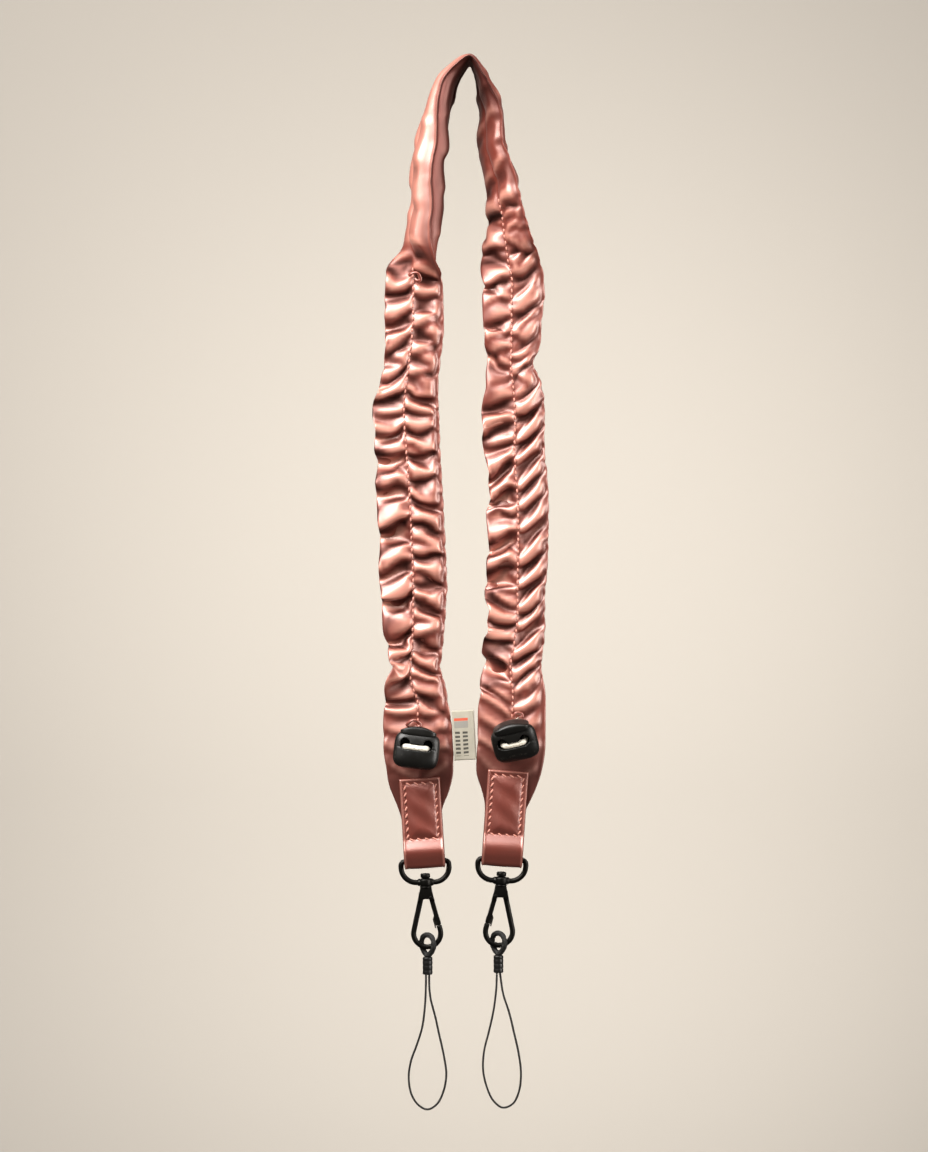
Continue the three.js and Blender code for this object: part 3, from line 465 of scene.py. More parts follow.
# finishes
finishes = {
    # mottle: size, amount, roughness and how far that drifts; weave: threads, cross, slub; bump: strength, metres
    "satin": {
        # the pale pink is a painted highlight for crests, the near black a painted shade for valleys, the flat ends and
        # the inside of the loop
        "color": (0.19, 0.032, 0.019, 1), "dark": (0.15, 0.022, 0.012, 1), "paintedHighlight": (0.58, 0.26, 0.2, 1),
        "deep": (0.05, 0.009, 0.006, 1), "seam": (0.12, 0.022, 0.016, 1),
        "mottle": (45.0, 0.6, 0.4, 0.12), "weave": (1.3, 0.25, 0.5), "bump": (0.12, 0.00006),
        "creases": {"Scale": 110.0, "Detail": 2.0, "Distortion": 1.2}, "creaseBump": (0.1, 0.001),
        "seamShow": 0.8,
        "valleyShadeMetal": 0.75,      # painted shade: where painted dark the satin turns metallic in the dark deep colour, so it sends back only dark reflections
        "shader": {
            "Metallic": 0.1, "IOR": 2.1, "Specular Tint": (1.0, 0.68, 0.6, 1), "Coat Weight": 0.9,
            "Coat Roughness": 0.36, "Coat IOR": 1.6, "Coat Tint": (1.0, 0.93, 0.9, 1), "Sheen Weight": 0.15,
            "Sheen Roughness": 0.35, "Sheen Tint": (1.0, 0.72, 0.66, 1)},
    },
    "tabSatin": {
        "color": (0.175, 0.029, 0.018, 1), "dark": (0.115, 0.018, 0.01, 1), "dent": (0.2, 0.045, 0.03, 1),
        # a painted highlight colour along the rolled edge
        "edge": (0.62, 0.27, 0.21, 1), "rimHighlightShow": 0.45,
        "mottle": (120.0, 0.5, 0.36, 0.1), "weave": (1.1, 0.6, 0.8), "bump": (0.3, 0.00008),
        "shader": {"Metallic": 0.2, "IOR": 2.0, "Specular Tint": (1.0, 0.68, 0.6, 1), "Coat Weight": 0.8,
                   "Coat Roughness": 0.3, "Coat IOR": 1.6},
    },
    "metal": {
        "color": (0.009, 0.008, 0.006, 1), "dark": (0.004, 0.0035, 0.003, 1), "bare": (0.11, 0.1, 0.085, 1),
        "mottle": (260.0, 0.7, 0.3, 0.16), "wear": (0.53, 0.62), "bump": (0.25, 0.00007),
        "shader": {"Metallic": 0.75},
    },
    "plastic": {
        "color": (0.006, 0.0055, 0.0045, 1), "dark": (0.003, 0.0028, 0.0024, 1), "bare": (0.05, 0.047, 0.04, 1),
        "mottle": (260.0, 0.7, 0.3, 0.16), "wear": (0.52, 0.6), "bump": (0.25, 0.00007),
        "shader": {"Specular IOR Level": 0.4},
    },
    "cord": {
        "color": (0.008, 0.007, 0.0055, 1), "dark": (0.003, 0.0027, 0.0022, 1), "strands": 420.0,
        "mottle": (700.0, 0.7, 0.6, 0.12), "bump": (0.6, 0.00012), "strandShade": 0.45,
        "shader": {"Specular IOR Level": 0.4, "Sheen Weight": 0.06, "Sheen Roughness": 0.4},
    },
    "elastic": {
        "color": (0.83, 0.79, 0.69, 1), "dark": (0.66, 0.61, 0.52, 1), "strands": 380.0,
        "mottle": (700.0, 0.7, 0.75, 0.12), "bump": (0.6, 0.00012), "strandShade": 0.45,
        "shader": {"Specular IOR Level": 0.3, "Sheen Weight": 0.06, "Sheen Roughness": 0.4},
    },
    "thread": {
        "color": (0.6, 0.27, 0.21, 1), "dark": (0.4, 0.14, 0.1, 1), "mottle": (900.0, 0.6, 0.42, 0.15),
        "bump": (0.4, 0.00008),
        "shader": {"Metallic": 0.1, "Specular IOR Level": 0.4, "Sheen Weight": 0.2, "Sheen Roughness": 0.4},
    },
    "label": {
        "color": (0.44, 0.41, 0.335, 1), "dark": (0.37, 0.345, 0.28, 1), "red": (0.62, 0.11, 0.06, 1),
        "grey": (0.27, 0.26, 0.24, 1), "ink": (0.03, 0.028, 0.025, 1), "greyShow": 0.8, "inkShow": 0.88,
        "mottle": (300.0, 0.6, 0.75, 0.1), "weave": (1.4, 1.0, 0.6), "bump": (0.5, 0.0001),
        "shader": {"Specular IOR Level": 0.25, "Sheen Weight": 0.15, "Sheen Roughness": 0.4},
    },
}


def surfaceMask(tree, name):
    # a value that the piece's own mesh carries
    return addNode(tree, "ShaderNodeAttribute", {"attribute_name": name}).outputs["Fac"]


def addWeave(tree, shader, values, below=None):
    threads, cross, slub = values["weave"]
    weave = placeGroup(tree, threadWeave, {"Threads": threads, "Cross": cross, "Slub": slub})
    addBump(tree, shader, weave.outputs["Height"], *values["bump"], below)


def satinFinish():
    values = finishes["satin"]
    material, tree, shader, mottle = newFinish("gatheredSatin", values)
    # painted shade: valleys, the flat ends and the face inside the loop are mixed towards the near-black colour, lose
    # their coat and turn metallic in that colour, so they reflect only dark
    paintedShadeAndDent = surfaceMask(tree, "paintedShadeAndDent")
    # painted highlight: crests and the left leg's outer face are mixed towards a pale pink
    withPaintedHighlight = mixColor(tree, surfaceMask(tree, "paintedHighlight"), mottle.outputs["Color"], values["paintedHighlight"])
    deepened = mixColor(tree, paintedShadeAndDent, withPaintedHighlight, values["deep"])
    lined = mathNode(tree, "MULTIPLY", surfaceMask(tree, "seamLine"), values["seamShow"])
    tree.links.new(mixColor(tree, lined, deepened, values["seam"]), shader.inputs["Base Color"])
    unshaded = mathNode(tree, "SUBTRACT", 1.0, paintedShadeAndDent)
    coat = mathNode(tree, "MULTIPLY", unshaded, values["shader"]["Coat Weight"])
    tree.links.new(coat, shader.inputs["Coat Weight"])
    shadedMetal = mathNode(tree, "MULTIPLY", paintedShadeAndDent, values["valleyShadeMetal"])
    tree.links.new(mathNode(tree, "MAXIMUM", shadedMetal, values["shader"]["Metallic"]), shader.inputs["Metallic"])
    coords = addNode(tree, "ShaderNodeTexCoord")
    creases = addNode(tree, "ShaderNodeTexNoise", {"noise_type": "RIDGED_MULTIFRACTAL"}, values["creases"])
    tree.links.new(coords.outputs["Object"], creases.inputs["Vector"])
    soft = addBump(tree, shader, creases.outputs["Fac"], *values["creaseBump"])
    addWeave(tree, shader, values, soft)
    return material


def tabFinish():
    values = finishes["tabSatin"]
    material, tree, shader, mottle = newFinish("tabSatin", values)
    deepened = mixColor(tree, surfaceMask(tree, "paintedShadeAndDent"), mottle.outputs["Color"], values["dent"])
    # painted highlight: the rolled edge is mixed towards a pale pink
    lift = mathNode(tree, "MULTIPLY", surfaceMask(tree, "edge"), values["rimHighlightShow"])
    tree.links.new(mixColor(tree, lift, deepened, values["edge"]), shader.inputs["Base Color"])
    addWeave(tree, shader, values)
    return material


def threadFinish():
    values = finishes["thread"]
    material, tree, shader, _ = newFinish("sewingThread", values)
    grain = placeGroup(tree, mouldGrain, {"Grain Size": 5200.0, "Marks": 0.0})
    addBump(tree, shader, grain.outputs["Height"], *values["bump"])
    return material


def hardFinish(name, values):
    # cast metal or moulded plastic: fine grain, a few scuffs, and edges rubbed bare
    material, tree, shader, mottle = newFinish(name, values)
    grain = placeGroup(tree, mouldGrain, {"Grain Size": 3400.0, "Mark Size": 520.0, "Marks": 0.5})
    wearFrom, wearTo = values["wear"]
    wear = placeGroup(tree, edgeWear, {"Edge From": wearFrom, "Edge To": wearTo, "Patchy": 0.7})
    scuffs = mathNode(tree, "MULTIPLY", grain.outputs["Marks"], 0.25)
    rubbed = mathNode(tree, "ADD", scuffs, wear.outputs["Wear"], clamp=True)
    bare = mathNode(tree, "MULTIPLY", rubbed, 0.7)
    tree.links.new(mixColor(tree, bare, mottle.outputs["Color"], values["bare"]), shader.inputs["Base Color"])
    polish = mathNode(tree, "MULTIPLY", rubbed, 0.12)
    tree.links.new(mathNode(tree, "SUBTRACT", mottle.outputs["Roughness"], polish), shader.inputs["Roughness"])
    addBump(tree, shader, grain.outputs["Height"], *values["bump"])
    return material


def cordFinish(name, values):
    # strands laid slantwise round the cord
    material, tree, shader, mottle = newFinish(name, values)
    coords = addNode(tree, "ShaderNodeTexCoord")
    strands = addNode(tree, "ShaderNodeTexWave", {"bands_direction": "DIAGONAL"},
                      {"Scale": values["strands"], "Distortion": 1.5})
    tree.links.new(coords.outputs["Object"], strands.inputs["Vector"])
    shade = mathNode(tree, "MULTIPLY", strands.outputs["Fac"], values["strandShade"])
    tree.links.new(mixColor(tree, shade, mottle.outputs["Color"], values["dark"]), shader.inputs["Base Color"])
    addBump(tree, shader, strands.outputs["Fac"], *values["bump"])
    return material


gatheredSatin = satinFinish()
tabSatin = tabFinish()
sewingThread = threadFinish()
blackMetal = hardFinish("blackMetal", finishes["metal"])
blackPlastic = hardFinish("blackPlastic", finishes["plastic"])
blackCord = cordFinish("blackCord", finishes["cord"])
whiteElastic = cordFinish("whiteElastic", finishes["elastic"])
print("finishes ready")


# what every piece is made with
def makeMesh(name, points, faces, finish):
    mesh = bpy.data.meshes.new(name)
    mesh.from_pydata([tuple(p) for p in points], [], faces)
    mesh.validate()
    mesh.polygons.foreach_set("use_smooth", [True] * len(mesh.polygons))
    mesh.materials.append(finish)
    return linkObject(name, mesh)


def applyModifiers(piece):
    bpy.context.view_layer.update()
    shaped = bpy.data.meshes.new_from_object(piece.evaluated_get(bpy.context.evaluated_depsgraph_get()))
    old = piece.data
    piece.modifiers.clear()
    piece.data = shaped
    bpy.data.meshes.remove(old)
    shaped.name = piece.name
    shaped.polygons.foreach_set("use_smooth", [True] * len(shaped.polygons))


def hangOn(piece, body, slot, *nodes):
    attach(piece, body)
    if nodes:
        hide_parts(*nodes)
    return piece


def turnMesh(piece, matrix):
    piece.data.transform(matrix)
    piece.data.update()


def gridFaces(rings, sides, capped=False):
    # rings of points joined into a tube, with a face over each end if capped
    faces = []
    for i in range(rings - 1):
        for k in range(sides):
            after = (k + 1) % sides
            faces.append((i * sides + k, i * sides + after, (i + 1) * sides + after, (i + 1) * sides + k))
    if capped:
        faces.append(tuple(range(sides - 1, -1, -1)))
        faces.append(tuple((rings - 1) * sides + k for k in range(sides)))
    return faces


def writeFloats(mesh, name, values):
    layer = mesh.attributes.new(name, "FLOAT", "POINT")
    layer.data.foreach_set("value", np.asarray(values, dtype=np.float32))


def writeCloth(mesh, places):
    # where each point lies on the flat cloth, for the weave
    loops = np.zeros(len(mesh.loops), dtype=np.int32)
    mesh.loops.foreach_get("vertex_index", loops)
    mesh.uv_layers.new(name="cloth").data.foreach_set("uv", np.asarray(places)[loops].ravel())


def readPoints(mesh):
    values = np.zeros(len(mesh.vertices) * 3)
    mesh.vertices.foreach_get("co", values)
    return values.reshape(-1, 3)


# the gathered sleeve
sleeve = {
    "columns": ("x", "y", "z", "turn", "half", "deep", "gather", "seam"),
    "rows": [
        (-23, 0, -366, 0, 9.3, 1.2, 0, 0), (-23.3, 0, -361, 0, 9.8, 1.3, 0, 0),
        (-23.6, 0, -356.5, 0, 11.1, 1.4, 0, 0), (-23.6, 0, -352, 0, 13, 1.6, 0, 0),
        (-23.8, 0, -347, 0, 14.8, 1.8, 0.08, 0), (-23.8, 0, -342, 0, 15.8, 2, 0.18, 0),
        (-24, 0, -337, 0, 16.3, 2.3, 0.18, 0), (-24.4, 0, -331, 0, 16.7, 2.6, 0.3, 0),
        (-24.8, 0, -321, 0, 16.6, 2.9, 0.3, 0), (-24.5, 0, -313.5, 0, 15.8, 3.1, 0.6, -0.4),
        (-24.5, 0, -306, 0, 14.2, 3.5, 0.9, -0.6), (-26.2, 0, -297, 0, 13.8, 3.9, 1, -2),
        (-26.4, 0.5, -289, 0, 12.6, 3.9, 1, -2), (-25.8, 0.5, -281, 0, 13, 3.9, 1, -1.8),
        (-26.4, 0, -268, 0, 14.6, 4, 1, -0.8), (-26.4, 0, -250, 0, 15.7, 4, 1, -0.6),
        (-26.9, 0, -233, 0, 15.5, 4, 1, -0.8), (-28, 0, -211, 0, 15.5, 4, 1, -0.6),
        (-28.9, 0.5, -188, 0, 15.1, 4, 1, -1.4), (-29.5, 0.5, -165, 0, 14.9, 4, 1, -1.9),
        (-27.9, 0, -149, 0, 13.5, 4, 0.74, -1.6), (-26.2, 0, -130, 0, 14, 4.1, 0.74, -1.2),
        (-26.3, 0.5, -112, 0, 13.7, 4.2, 0.74, -0.7), (-26.4, 0.5, -104, 6, 13.4, 4.2, 0.74, -0.6),
        (-26, 0.5, -99, 30, 13.4, 4.3, 0.74, 0), (-24.8, 0.5, -95, 50, 13.6, 5, 0.5, 0),
        (-23.6, 0.5, -90, 66, 13.8, 8.6, 0.1, 0), (-22.6, 0.5, -81, 74, 14.2, 9.2, 0.1, 0),
        (-20.2, 0, -71, 80, 14.4, 9.2, 0.1, 0), (-20.5, 0, -61, 82, 14.4, 9.2, 0.1, 0),
        (-20.3, 0, -52, 80, 14.4, 9.2, 0.1, 0), (-18.4, 0, -42, 80, 14.4, 9, 0.1, 0),
        (-17.2, 0, -33, 84, 14.4, 8.2, 0.1, 0), (-15.6, 0, -26, 90, 14.4, 7.4, 0.1, 0),
        (-13, 0, -18, 96, 14.4, 6.8, 0.1, 0), (-10.6, 0, -12, 97, 14.4, 5.8, 0.1, 0),
        (-7.2, 0, -7.4, 94, 14.4, 4.4, 0.1, 0), (-3.6, 0, -3.6, 92, 14.4, 3.4, 0.1, 0),
        (0, 0, -1.5, 90, 14.4, 2.2, 0.2, 0), (2.8, 0, -4.6, 90, 14.4, 2.6, 0.22, 0),
        (4.7, 0, -8.4, 88, 14.4, 3, 0.22, 0), (6.2, 0, -13, 84, 14.4, 3.4, 0.22, 0),
        (7.9, 0, -19, 78, 14.3, 3.8, 0.22, 0), (10.1, 0, -27, 71, 14.2, 3.9, 0.22, 0),
        (10.3, 0, -35, 69, 14, 4, 0.22, 0), (10, 0, -42, 67, 14, 4, 0.22, 0), (12.4, 0, -50, 63, 14, 4, 0.22, 0),
        (15.1, 0, -59, 62, 14.2, 4, 0.22, 0), (16, 0, -67, 58, 14.4, 4, 0.4, 0),
        (17.3, 0, -75, 55, 14.6, 4, 0.6, 0), (18.2, 0.5, -83, 47, 14.7, 4.1, 0.6, 0),
        (18.4, 0.5, -90, 34, 14.8, 4.1, 0.6, 0), (19.2, 0.5, -97, 18, 14.8, 4.2, 0.7, -0.5),
        (20.9, 0.5, -105, 4, 14.4, 4.2, 0.7, -1), (21.1, 0.5, -115, 0, 14.8, 4.2, 0.7, -1.4),
        (20.7, 0, -128, 0, 13.8, 4.1, 0.7, -1), (20.4, 0, -139, 0, 13.2, 4, 0.7, -0.8),
        (18.8, 0, -147, 0, 11.4, 4, 0.7, 0.5), (20.8, 0, -156, 0, 12.6, 4, 0.7, -0.4),
        (21.3, 0.5, -169, 0, 14.6, 4, 1, 0), (22.2, 0.5, -189, 0, 13.9, 4, 1, -1),
        (23.6, 0, -211, 0, 14.2, 4, 1, -1), (23.5, 0, -233, 0, 14.1, 4, 1, -0.6),
        (22.5, 0, -251, 0, 14.3, 4, 1, 0), (22.7, 0.5, -269, 0, 13.2, 3.9, 1, -0.3),
        (21.4, 0.5, -280, 0, 13.8, 3.9, 1, -0.6), (19.8, 0.5, -290, 0, 14.2, 3.9, 1, -0.6),
        (20.6, 0, -302, 0, 15, 3.7, 0.9, -0.3), (20, 0, -312, 0, 16, 3.2, 0.6, 0),
        (19.8, 0, -321, 0, 16.4, 2.9, 0.3, 0), (19.4, 0, -331, 0, 16.4, 2.6, 0.3, 0),
        (18.6, 0, -337.5, 0, 16.1, 2.3, 0.18, 0), (18.1, 0, -342, 0, 15.5, 2, 0.18, 0),
        (18, 0, -347, 0, 13.8, 1.8, 0.08, 0), (17.5, 0, -352, 0, 11.8, 1.6, 0, 0),
        (16.9, 0, -356.5, 0, 10.2, 1.4, 0, 0), (16.4, 0, -361, 0, 9.7, 1.3, 0, 0),
        (16.2, 0, -366, 0, 9.3, 1.2, 0, 0),
    ],
    # fold crests: how far below the hanging point each one lies at the four reaches from the seam to the edge
    "foldReach": (0.1, 0.37, 0.65, 0.95),
    "folds": {
        "leftOuter": [
            (20, 22, 24, 26), (42, 41, 40, 40), (61, 60, 60, 62), (77, 76, 76, 78), (95, 96, 97, 98),
            (108, 110, 111, 111), (119, 121, 124, 126), (131, 134, 138, 142), (144, 149, 153, 156),
            (158, 160, 162, 164.5), (169, 169.5, 169, 169), (173.5, 177, 179.5, 181), (186, 189.5, 190, 190),
            (203, 200, 205, 208), (217, 218.5, 220, 222), (238, 238, 241, 246), (252, 255, 257, 258),
            (270, 273, 276, 277), (283, 285, 287, 288), (290.5, 294, 295, 295), (303.5, 304, 304.5, 304.5),
            (311.5, 313, 313.5, 313), (322, 322, 321, 320), (332, 331, 329, 327), (345, 343, 340, 337),
        ],
        "leftInner": [
            (30, 31, 32, 33), (50, 50, 51, 52), (68, 69, 70, 70), (88, 89, 90, 90), (101, 102, 103, 105),
            (112, 113, 113, 112), (128, 126, 123, 121), (141, 139, 136, 133), (151, 149, 148, 148),
            (158, 160, 160, 159), (167, 169, 170, 169.5), (175, 177, 176, 174), (187.5, 188, 187.5, 184),
            (201, 200.5, 199, 196), (208, 210.5, 212, 212.5), (220, 220, 222, 225), (235, 235, 234, 232),
            (250, 251, 250, 248), (255.5, 256, 259, 261), (275.5, 274.5, 273, 271), (281, 280, 279.5, 279),
            (286, 289, 290, 290), (294, 296, 298, 299), (301, 303, 303.5, 303), (312.5, 313.5, 311.5, 309),
            (322, 321, 319, 317), (333, 331, 329, 327), (346, 343, 340, 337),
        ],
        "rightOuter": [
            (17, 16, 15, 14), (32, 29, 27, 25), (55, 54, 52, 50), (69, 67, 66, 66), (86, 89, 93, 96),
            (102, 102, 100, 98), (121, 119, 116, 113), (131, 133, 132, 130), (143, 144, 145, 145),
            (150, 153, 155.5, 156), (169, 168.5, 166, 163), (183, 181.5, 178.5, 177.5), (192, 190.5, 188, 186),
            (206, 202.5, 200, 199), (214.5, 212.5, 209, 206.5), (224.5, 223, 219.5, 215), (242, 240, 236, 232),
            (252, 250, 247, 244.5), (264, 263, 260.5, 257), (271, 269, 266, 263.5), (286, 283.5, 281, 279.5),
            (297, 293.5, 289.5, 287), (301.5, 299.5, 298.5, 298), (310, 309, 307, 304), (321, 320, 318, 316),
            (334, 332, 329, 326), (347, 344, 340, 336),
        ],
        "rightInner": [
            (15, 16, 17, 18), (33, 35, 36, 38), (55, 56, 58, 60), (72, 71, 71, 72), (89.5, 88.5, 88, 88.5),
            (103, 102.5, 104, 106), (115, 113.5, 114.5, 116), (121.5, 123.5, 124, 124), (131.5, 131.5, 131.5, 132),
            (137, 138.5, 140.5, 141), (147, 146, 145.5, 145.5), (150.5, 152, 151.5, 150.5),
            (160, 160.5, 161.5, 160), (172, 170, 170.5, 174), (182, 181, 179.5, 178), (189, 188, 190, 192),
            (203, 201, 202, 206), (218, 215.5, 211.5, 209.5), (223.5, 223, 223.5, 227), (240, 237, 239, 243),
            (261, 257.5, 253.5, 249), (268.5, 268, 266, 262), (277, 276, 275, 272), (287, 285, 283, 284),
            (307, 303.5, 300, 295), (312, 309, 306.5, 304), (322, 320, 317, 315), (333, 331, 328, 325),
            (346, 343, 339, 336),
        ],
    },
    # the cut cloth
    "halfSteps": (0, 0.09, 0.2, 0.33, 0.47, 0.61, 0.75, 0.87, 0.94, 1),     # its points, in half widths from the seam
    "cell": 1.6,            # cloth cell along the sleeve before it is gathered
    "spare": 0.34,          # spare length drawn up by the cord where gather is 1
    "spareWidth": 2.6,
    "clothHalf": 15.5,      # half width that the weave is drawn for
    "flatness": (0.18, 0.8),        # half thickness for each millimetre of deep, face-on and edge-on
    "flatTurn": (10, 80),   # the turns that those two belong to
    "skin": 0.25,           # least half thickness
    "sideSeam": 0.87,       # the seam that joins the faces, in half widths, beside a narrow rim
    "seamPinch": 0.22,      # half thickness where it is sewn through
    "rim": 0.6,             # and beyond it
    "seamDip": 0.3,         # how far the stitching pulls the channel in, as a share
    # the folds it is guided to
    "foldSlope": 0.35,      # height of a fold for each millimetre to the next one
    "foldHeight": 4.5,
    "foldMiddle": 1.3,      # the height they level out to where they are eased
    "fall": 0.24,           # share of that pitch in which it falls away
    "fallCurve": 1.7,
    "riseCurve": 1.5,
    "farShift": 6.0,        # the far face's folds sit this much lower
    "seamEase": (0.7, 0.25),        # how much they are eased at the seam, and how far from it
    "edgeEase": (0.4, 0.7),         # and at the edge, and from where
    "sewnFlank": (1.0, 0.7, 0.93),  # how much lower they are on the sewn flank, from and to where
    "openFlank": (0.5, 0.7, 1.0),
    "edgeWave": (0.022, 1.5),       # how far they push the open edge out, and the height that doesn't
    "edgeLift": {"left": -2.0, "right": 6.0},       # how far above the seam the same thread ends at the edge
    "liftFrom": (60, 110),  # below the hanging point, where that lift sets in
    "liftCurve": 1.5,
    "leastFolds": 0.2,      # the gather that shapes the folds is never less than this
    # how firmly the cloth is held to them, from 0 to 1
    "clothHold": 0.09,
    "slantHold": 0.14,      # added on the right leg beyond the seam, where the folds lie slantwise
    "calmHold": 0.6,        # added where the sleeve is not gathered
    "edgeHold": (0.12, 0.6),        # at the folded edge and at the sewn one
    "endHeld": 350.0,       # below this the sleeve is sewn to its tab
    "endHold": (0.9, 36.0),         # how firmly, and how far above it that starts
    # the solver
    "frames": 45,
    "drawFrames": 30,       # the cord is drawn up in these
    "workScale": 10.0,      # the solver likes decimetres better than millimetres
    "solver": {
        "quality": 5, "mass": 0.1, "air_damping": 1, "tension_stiffness": 15.0, "compression_stiffness": 15.0,
        "shear_stiffness": 5.0, "bending_stiffness": 12.0, "tension_damping": 5, "compression_damping": 5,
        "shear_damping": 5, "bending_damping": 0.1, "vertex_group_mass": "held", "pin_stiffness": 1,
        "use_pressure": True, "uniform_pressure_force": 0.0,      # it keeps the air it starts with, no more
    },
    "easeTurns": 1,
    "mostOut": 5.8,         # no fold stands further than this from the slack sleeve
    "leastGap": 0.5,        # between the near and the far face
    # painted shade and painted highlight: a share, and the drops or turns it grows between
    "endShade": (0.6, 314, 346),        # painted shade: the flat ends are painted darker
    "insideShade": (0.85, 62, 80),      # painted shade on the face turned into the loop
    "outsideShine": 0.6,    # painted highlight where the left leg's outer face catches the light
    "shadeReach": (6, 3),   # cells looked at around a point, for the painted shade in valleys and the painted highlight on crests
    "valleyDepth": (0.15, 1.4),     # below the cloth around: where the painted valley shade starts, and how much deeper is full
    "crestHeight": (0.25, 0.9),
    "pathSteps": 6000,
    "turnWindow": 161,      # path steps over which the direction is evened out
}


def columnsOf(rows, key):
    return rows[:, sleeve["columns"].index(key)]


def sleevePath():
    # the table's rows joined by one smooth curve, with a value of every column at each step
    rows = np.array(sleeve["rows"], float)
    chord = lengthAlong(rows[:, :3])
    slope = np.zeros_like(rows)
    before = (rows[1:-1] - rows[:-2]) / (chord[1:-1] - chord[:-2])[:, None]
    after = (rows[2:] - rows[1:-1]) / (chord[2:] - chord[1:-1])[:, None]
    share = ((chord[1:-1] - chord[:-2]) / (chord[2:] - chord[:-2]))[:, None]
    slope[1:-1] = before * (1 - share) + after * share
    slope[0] = (rows[1] - rows[0]) / chord[1]
    slope[-1] = (rows[-1] - rows[-2]) / (chord[-1] - chord[-2])
    at = np.linspace(0, chord[-1], sleeve["pathSteps"])
    row = np.clip(np.searchsorted(chord, at, side="right") - 1, 0, len(chord) - 2)
    span = (chord[row + 1] - chord[row])[:, None]
    u = ((at - chord[row])[:, None]) / span
    path = (2 * u**3 - 3 * u**2 + 1) * rows[row] + (u**3 - 2 * u**2 + u) * span * slope[row]
    path += (3 * u**2 - 2 * u**3) * rows[row + 1] + (u**3 - u**2) * span * slope[row + 1]
    return path, lengthAlong(path[:, :3])


def evenOut(values, window):
    weights = np.hanning(window + 2)[1:-1]
    weights /= weights.sum()
    padded = np.pad(values, ((window // 2, window // 2), (0, 0)), "edge")
    return np.stack([np.convolve(padded[:, k], weights, "valid") for k in range(values.shape[1])], axis=1)


def sleeveGrid(path, gone):
    # rings along the cut cloth: where each one lies before gathering and after
    gain = 1 + sleeve["spare"] * columnsOf(path, "gather")
    cut = np.concatenate([[0], np.cumsum(np.diff(gone) * (gain[1:] + gain[:-1]) / 2)])
    count = int(cut[-1] / sleeve["cell"]) + 1
    at = np.linspace(0, cut[-1], count)
    rings = np.stack([np.interp(at, cut, path[:, k]) for k in range(path.shape[1])], axis=1)
    drawn = np.interp(at, cut, gone)
    return rings, at - (cut[-1] - gone[-1]) / 2, drawn


def roundSteps():
    # the ring's points: across the near side from edge to edge, then back across the other
    half = sleeve["halfSteps"]
    once = [-v for v in half[::-1]] + list(half[1:-1])
    across = np.array(once + [-v for v in once])
    face = np.array([1] * len(once) + [-1] * len(once))
    return across, face


def foldRise(drop, reach, crests):
    # from one crest to the next the cloth falls steeply, then rises slowly
    lines = np.sort([np.interp(reach, sleeve["foldReach"], row) for row in crests])
    after = np.clip(np.searchsorted(lines, drop), 1, len(lines) - 1)
    pitch = np.maximum(lines[after] - lines[after - 1], 1)
    along = np.clip((drop - lines[after - 1]) / pitch, 0, 1)
    fall = sleeve["fall"]
    climb = np.clip((along - fall) / (1 - fall), 0, 1)
    plunge = np.clip(1 - along / fall, 0, 1) ** sleeve["fallCurve"]
    shape = np.where(along < fall, plunge, climb ** sleeve["riseCurve"])
    inside = (drop > lines[0]) & (drop < lines[-1])
    return np.minimum(sleeve["foldSlope"] * pitch, sleeve["foldHeight"]) * np.where(inside, shape, 0)


def smoothStep(values, low, high):
    t = np.clip((values - low) / (high - low), 0, 1)
    return t * t * (3 - 2 * t)


def halfThick(rings):
    return np.interp(columnsOf(rings, "turn"), sleeve["flatTurn"], sleeve["flatness"]) * columnsOf(rings, "deep")


